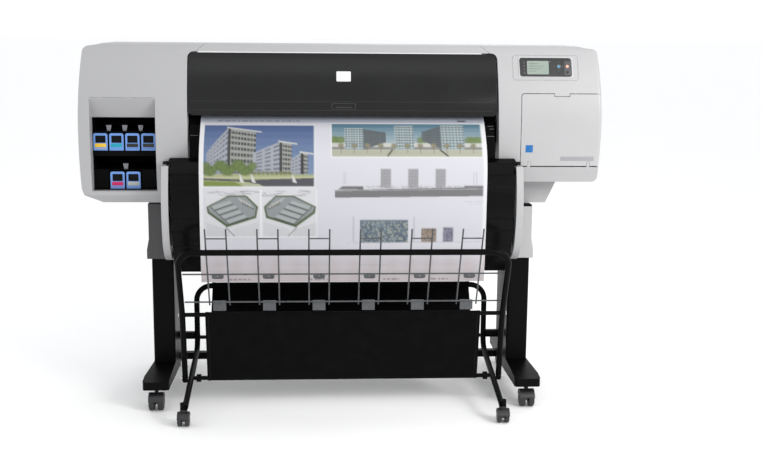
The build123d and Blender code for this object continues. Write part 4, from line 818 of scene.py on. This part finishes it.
def draw_frontage(d, x0, x1, y0, y1):
    """A long street front: glass blocks, trees and pale paving under a blue-green sky."""
    p, h = within(x0, x1, y0, y1), y1 - y0
    for step in range(6):
        d.box(x0, x1, y0 + 0.13 * step * h, y0 + 0.13 * (step + 1) * h,
              (0.10 + 0.06 * step, 0.22 + 0.055 * step, 0.30 + 0.045 * step))
    for u in (0.01, 0.03, 0.06, 0.60, 0.92, 0.95, 0.98):
        d.tree(*p(u, 0.55), 0.13 * h, (0.13, 0.20, 0.06))
    d.box(x0, x1, y0 + 0.62 * h, y0 + 0.82 * h, (0.62, 0.62, 0.58))
    d.box(x0, x1, y0 + 0.74 * h, y0 + 0.81 * h, (0.12, 0.12, 0.11), 0.7)
    d.box(x0, x1, y0 + 0.82 * h, y1, (0.46, 0.47, 0.36))
    wings = (((0.21, 0.17), (0.36, 0.28), (0.36, 0.60), (0.21, 0.82)),
             ((0.60, 0.26), (0.73, 0.06), (0.73, 0.80), (0.60, 0.55)))
    for wing in wings:
        facade(d, tuple(p(*c) for c in wing), 9, 10, (0.13, 0.16, 0.17), (0.055, 0.07, 0.08), 0.5)
    for u0, u1, v0 in ((0.085, 0.21, 0.14), (0.42, 0.545, 0.05), (0.73, 0.885, 0.04)):
        facade(d, (p(u0, v0), p(u1, v0), p(u1, 0.82), p(u0, 0.82)), 9, 7,
               (0.45, 0.53, 0.53), (0.12, 0.17, 0.20), 0.4)
    for i in range(11):
        u = 0.06 + 0.088 * i
        d.tree(*p(u, 0.70), 0.075 * h, (0.26, 0.22, 0.16))
        d.line(*p(u, 0.72), *p(u, 0.90), 1.5, (0.15, 0.13, 0.10), 0.8)
    for u0, u1 in ((0.40, 0.37), (0.72, 0.77)):
        d.line(*p(u0, 0.82), *p(u1, 0.98), 5, (0.03, 0.03, 0.03))


def draw_elevation(d, x0, x1, y0, y1):
    """A grey elevation: a long plinth carrying three towers, with dimension lines."""
    p = within(x0, x1, y0, y1)
    d.fill([p(0.0, 0.74), p(1.0, 0.64), p(1.0, 0.93), p(0.0, 0.98)], (0.19, 0.19, 0.20))
    d.line(*p(0.0, 0.76), *p(1.0, 0.70), 2, (0.42, 0.42, 0.43))
    d.fill([p(0.05, 0.62), p(0.19, 0.62), p(0.19, 0.72), p(0.02, 0.72)], (0.16, 0.16, 0.165))
    d.fill([p(0.87, 0.60), p(1.0, 0.60), p(1.0, 0.70), p(0.87, 0.68)], (0.20, 0.20, 0.21))
    for u0, u1 in ((0.305, 0.375), (0.49, 0.56), (0.675, 0.745)):
        facade(d, (p(u0, 0.08), p(u1, 0.08), p(u1, 0.68), p(u0, 0.68)), 14, 5,
               (0.40, 0.40, 0.42), (0.30, 0.30, 0.32))
    (left, top), (right, bottom) = p(0.2, 0.60), p(0.86, 0.68)
    d.speckle(left, right, top, bottom, [(0.25, 0.25, 0.26), (0.5, 0.5, 0.5)], 0.5, 4)
    for u in (0.055, 0.07, 0.935, 0.955):
        d.line(*p(u, 0.18), *p(u, 0.56), 1.5, (0.36, 0.36, 0.38), 0.7)


def draw_rule_text(d, x0, x1, y, tone, height=3.2):
    """A line of dashes that stands for a caption."""
    x = x0
    while x < x1:
        run = d.random.uniform(8, 26)
        d.box(x, min(x + run, x1), y - height / 2, y + height / 2, tone, 0.75)
        x += run + d.random.uniform(4, 8)


def fine(values):
    """Each value replaced by several spread round it, for smooth edges once they are averaged."""
    step = values[1] - values[0]
    offsets = (np.arange(PRINT_SAMPLES) - (PRINT_SAMPLES - 1) / 2) / PRINT_SAMPLES * step
    return (values[:, None] + offsets).ravel()


def draw_poster(across, down):
    """The whole print's ink, with bands of painted shade, on the grid of points; down starts at -PRINT_LEAD, inside
    the slot.
    """
    d = Drawing(fine(across), fine(down), PAPER_WHITE)
    half, length = across[-1], down[-1]
    for side in (-1, 1):
        d.box(*sorted((side * (half - 14), side * (half + 5))), -PRINT_LEAD, length, (0.88, 0.88, 0.90))
    # Painted shade: a bluish grey band across the top of the sheet, under the slot, where the sheet curves away
    # into shadow.
    d.box(-half, half, -PRINT_LEAD, 22, (0.46, 0.51, 0.62), 0.75)
    draw_rule_text(d, -470, -165, 14, (0.10, 0.12, 0.17), 5)
    d.box(430, 462, 8, 16, (0.05, 0.06, 0.09))
    for x0, x1, y0, y1 in ((-521, -107, 32, 290), (-49, 520, 24, 178), (-508, -100, 296, 478)):
        d.box(x0, x1, y0, y1, (0.90, 0.90, 0.92))
    pictures = (
        (draw_street, (-517, -111, 36, 286), ()), (draw_frontage, (-45, 516, 28, 174), ()),
        (draw_plan, (-508, -312, 298, 474), (False,)), (draw_plan, (-303, -104, 298, 474), (True,)),
        (draw_elevation, (-34, 519, 210, 330), ()),
    )
    for draw, place, extra in pictures:
        d.keep_within(*place)
        draw(d, *place, *extra)
    d.mask = 1.0
    for y, x0, x1 in ((342, 455, 520), (352, 470, 512), (length - 64, -470, -400),
                      (length - 68, -200, -110), (length - 66, 60, 170), (length - 68, 350, 440)):
        draw_rule_text(d, x0, x1, y, (0.50, 0.50, 0.55), 2.6)
    d.box(60, 240, 412, 499, (0.13, 0.18, 0.23))
    d.speckle(60, 240, 418, 499, [(0.25, 0.32, 0.36), (0.08, 0.11, 0.15), (0.45, 0.47, 0.40)], 0.7, 5)
    d.box(290, 346, 444, 497, (0.28, 0.22, 0.17))
    d.speckle(290, 346, 444, 497, [(0.45, 0.36, 0.28), (0.15, 0.12, 0.10)], 0.6, 5)
    d.box(372, 410, 440, 497, (0.20, 0.19, 0.27))
    d.speckle(372, 410, 440, 497, [(0.32, 0.31, 0.40), (0.12, 0.12, 0.17)], 0.6, 5)
    d.line(10, 500, 520, 496, 1.5, (0.45, 0.45, 0.48), 0.6)
    for x in (35, 262):
        d.line(x, 400, x, 494, 2.5, (0.35, 0.35, 0.40), 0.7)
    # A pink print tint on the lower sheet; its strength varies in vertical stripes, and those stripes are painted
    # shade.
    pink_tint_and_shade_stripes = np.clip((d.y - 520) / 60, 0, 1) * (0.35 + 0.25 * np.sin(d.x / 23.0) ** 2)
    d.lay(pink_tint_and_shade_stripes, (0.66, 0.56, 0.56))
    foot = (d.y > length - 48) * 0.35
    d.lay(foot * (d.random.random(d.x.shape) < 0.8), (0.60, 0.50, 0.48))
    for x0, x1 in ((-430, -350), (-130, -60), (150, 210), (330, 395)):
        draw_rule_text(d, x0, x1, length - 10, (0.22, 0.17, 0.17), 6)
    rows, columns = len(down), len(across)
    blocks = d.ink.reshape(rows, PRINT_SAMPLES, columns, PRINT_SAMPLES, 3)
    return blocks.mean(axis=(1, 3)) * PAPER_TONE


def sheet_profile():
    """The web's front line (y, z) from the slot down, and its length so far, read from the CAD web."""
    low = box_mm("paper_web")[0]
    line = []
    for i in range(PROFILE_STEPS + 1):
        share = i / PROFILE_STEPS
        z = PRINT_TOP - (PRINT_TOP - low.z - 0.6) * share**1.6
        line.append(np.array(skin("paper_web", 0, z)[0])[1:])
    steps = np.hypot(*np.diff(np.array(line), axis=0).T)
    return np.array(line), np.concatenate(([0], np.cumsum(steps)))


def add_printed_face():
    """The printed coat on the front of the paper web: a thin closed skin with the print and its painted shade bands
    in its colours.
    """
    line, run = sheet_profile()
    half = box_mm("paper_web")[1].x - 0.3
    across = np.linspace(-half, half, round(2 * half / PRINT_STEP) + 1)
    down = np.linspace(0, run[-1], round(run[-1] / PRINT_STEP) + 1)
    y = np.interp(down, run, line[:, 0])
    z = np.interp(down, run, line[:, 1])
    slope = np.stack((np.gradient(z, down), -np.gradient(y, down)), axis=1)
    slope /= np.linalg.norm(slope, axis=1)[:, None]
    print_and_shade_colours = draw_poster(across, down - PRINT_LEAD).reshape(-1, 3)
    columns, rows = len(across), len(down)
    points = [
        (x, y[r] + slope[r][0] * PRINT_LIFT, z[r] + slope[r][1] * PRINT_LIFT) for r in range(rows) for x in across
    ]
    faces = [
        (r * columns + c, r * columns + c + 1, (r + 1) * columns + c + 1, (r + 1) * columns + c)
        for r in range(rows - 1)
        for c in range(columns - 1)
    ]
    back = len(points)
    points += [(x, y[r] + slope[r][0] * PRINT_BACK, z[r] + slope[r][1] * PRINT_BACK)
               for r in range(rows) for x in (-half, half)]
    for r in range(rows - 1):
        left, right = back + 2 * r, back + 2 * r + 1
        faces.append((left, left + 2, right + 2, right))
        faces.append((r * columns, (r + 1) * columns, left + 2, left))
        faces.append((r * columns + columns - 1, right, right + 2, (r + 1) * columns + columns - 1))
    faces.append((back, back + 1, *range(columns - 1, -1, -1)))
    faces.append((back + 2 * rows - 1, back + 2 * rows - 2, *range((rows - 1) * columns, rows * columns)))
    mesh = bpy.data.meshes.new("printed_face")
    mesh.from_pydata([Vector(p) * MM for p in points], [], faces)
    mesh.flip_normals()
    tone = mesh.color_attributes.new("ink", "FLOAT_COLOR", "POINT")
    colours = np.ones((len(points), 4), np.float32)
    colours[: len(print_and_shade_colours), :3] = print_and_shade_colours
    colours[len(print_and_shade_colours):, :3] = PAPER_WHITE
    tone.data.foreach_set("color", colours.ravel())
    mesh.shade_smooth()
    mesh.set_sharp_from_angle(angle=math.radians(40))
    piece = bpy.data.objects.new("printed_face", mesh)
    put_in_scene(piece)
    dress(piece, "printed_paper")
    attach(piece, "machine")


# ---- the basket's cloth sling

FRONT_ROD = (-218, 376)
PIVOT_ROD = (-163, 112)
REAR_BAR = (100, 415)
ROD_RADIUS = 8
BAR_RADIUS = 11
SLING_HALF_WIDTH = 520
SLING_THICKNESS = 1.6
SLING_GAP = 0.5
HEM_WIDTH = 15
HEM_RISE = 0.55
FRONT_SAG = 2.5
REAR_SAG = 9.0


def belt_run(circles, start_angle, end_angle, step=9):
    """A belt's line round circles (y, z, radius), anticlockwise, as points with how far each may sag."""
    tangents = []
    for (y0, z0, r0), (y1, z1, r1) in zip(circles, circles[1:]):
        length = math.hypot(y1 - y0, z1 - z0)
        heading = math.atan2(z1 - z0, y1 - y0)
        tangents.append(heading - math.pi / 2 + math.asin((r1 - r0) / length))
    points = []
    angles = [start_angle, *tangents, end_angle]
    for index, (y, z, radius) in enumerate(circles):
        first, last = angles[index], angles[index + 1]
        while last < first:
            last += 2 * math.pi
        count = max(3, round((last - first) / math.radians(20)))
        for i in range(count + 1):
            angle = first + (last - first) * i / count
            points.append((y + radius * math.cos(angle), z + radius * math.sin(angle), 0))
        if index + 1 < len(circles):
            ny, nz, nr = circles[index + 1]
            start = points[-1]
            end = (ny + nr * math.cos(angles[index + 1]), nz + nr * math.sin(angles[index + 1]))
            count = round(math.hypot(end[0] - start[0], end[1] - start[1]) / step)
            for i in range(1, count):
                share = i / count
                points.append((start[0] + (end[0] - start[0]) * share, start[1] + (end[1] - start[1]) * share,
                               4 * share * (1 - share)))
    return points


def sling_line():
    """The sling's line (y, z, sag): a sleeve on the front rod, under the pivot rod, a sleeve on the rear bar."""
    rod = ROD_RADIUS + SLING_GAP + SLING_THICKNESS / 2
    bar = BAR_RADIUS + SLING_GAP + SLING_THICKNESS / 2
    circles = [(*FRONT_ROD, rod), (*PIVOT_ROD, rod), (*REAR_BAR, bar)]
    return belt_run(circles, math.radians(-25), math.radians(200))


def sag_depth(y):
    """How far the cloth may sag at y, on the short front run or the long rear run."""
    return REAR_SAG if y > PIVOT_ROD[0] + 10 else FRONT_SAG


def blend_at_pivot(piece):
    """Bakes the piece's placement into its mesh, leaving it on no body."""
    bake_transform(piece)


def add_sling():
    """One sheet of woven cloth, sleeved on three rods, with turned side hems and a slight sag."""
    line = sling_line()
    edge = [0, 1.5, HEM_WIDTH - 2.5, HEM_WIDTH - 1, HEM_WIDTH, HEM_WIDTH + 2]
    inner = SLING_HALF_WIDTH - HEM_WIDTH - 20
    middle = list(np.linspace(-inner, inner, 64))
    across = [-SLING_HALF_WIDTH + e for e in edge] + middle + [SLING_HALF_WIDTH - e for e in reversed(edge)]
    shape = bmesh.new()
    rng = random.Random(11)
    folds = [(rng.uniform(0.006, 0.02), rng.uniform(0, 6.28), rng.uniform(0.4, 1.0)) for _ in range(7)]
    grid = []
    for index, (y, z, sag) in enumerate(line):
        before, after = line[max(0, index - 1)], line[min(len(line) - 1, index + 1)]
        heading = math.atan2(after[1] - before[1], after[0] - before[0])
        out_y, out_z = math.sin(heading), -math.cos(heading)
        depth = sag_depth(y)
        row = []
        for x in across:
            crown = 1 - (x / SLING_HALF_WIDTH) ** 4
            wave = sum(size * math.sin(x * pitch + phase + z * 0.004) for pitch, phase, size in folds) / 7
            bulge = sag * (depth * (0.35 + 0.65 * crown) + 2.2 * wave)
            hem = HEM_RISE if SLING_HALF_WIDTH - abs(x) < HEM_WIDTH - 1 else 0
            row.append(shape.verts.new((x, y + out_y * (bulge + hem), z + out_z * (bulge + hem))))
        grid.append(row)
    for upper, lower in zip(grid, grid[1:]):
        for i in range(len(across) - 1):
            shape.faces.new((upper[i], upper[i + 1], lower[i + 1], lower[i]))
    sling = finish_piece("basket_sling", shape, None, ["black_cloth"], 60)
    thick = sling.modifiers.new("cloth_thickness", "SOLIDIFY")
    thick.thickness = SLING_THICKNESS * MM
    thick.offset = 0
    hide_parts("basket_sling_front", "basket_sling_rear")
    seams = [add_seam(line, side, name) for side, name in ((-1, "left"), (1, "right"))]
    blend_at_pivot(sling)


def add_seam(line, side, name):
    """The stitches that hold a side hem."""
    shape = bmesh.new()
    x = side * (SLING_HALF_WIDTH - HEM_WIDTH + 3.5)
    for (y0, z0, sag0), (y1, z1, sag1) in zip(line, line[1:]):
        length = math.hypot(y1 - y0, z1 - z0)
        heading = math.atan2(z1 - z0, y1 - y0)
        depth = sag_depth(y0)
        if sag0 == 0 and sag1 == 0:
            continue
        for share in (0.15, 0.65):
            sag = sag0 + (sag1 - sag0) * share
            off = sag * depth * 0.47 + SLING_THICKNESS / 2 + HEM_RISE
            y = y0 + (y1 - y0) * share + math.sin(heading) * off
            z = z0 + (z1 - z0) * share - math.cos(heading) * off
            made = bmesh.ops.create_cube(shape, size=1)
            stitch = Matrix.Diagonal((0.7, min(3.2, length * 0.4), 0.5, 1))
            place = Matrix.Translation((x, y, z)) @ Matrix.Rotation(heading, 4, "X") @ stitch
            bmesh.ops.transform(shape, matrix=place, verts=made["verts"])
    bmesh.ops.bevel(shape, geom=shape.edges[:], offset=0.15, segments=1, affect="EDGES")
    seam = finish_piece(f"sling_seam_{name}", shape, None, ["seam_thread"], 60)
    blend_at_pivot(seam)
    return seam


# ---- the whole scene

add_camera()
add_studio()
dress_nodes()
add_floor()
for ink in INKS:
    add_cartridge_front(ink)
add_panel_details()
add_screen_lines()
add_door_details()
add_window_details()
add_bay_guides()
add_slot_strips()
add_bracket_shade_band()
add_printed_face()
add_sling()
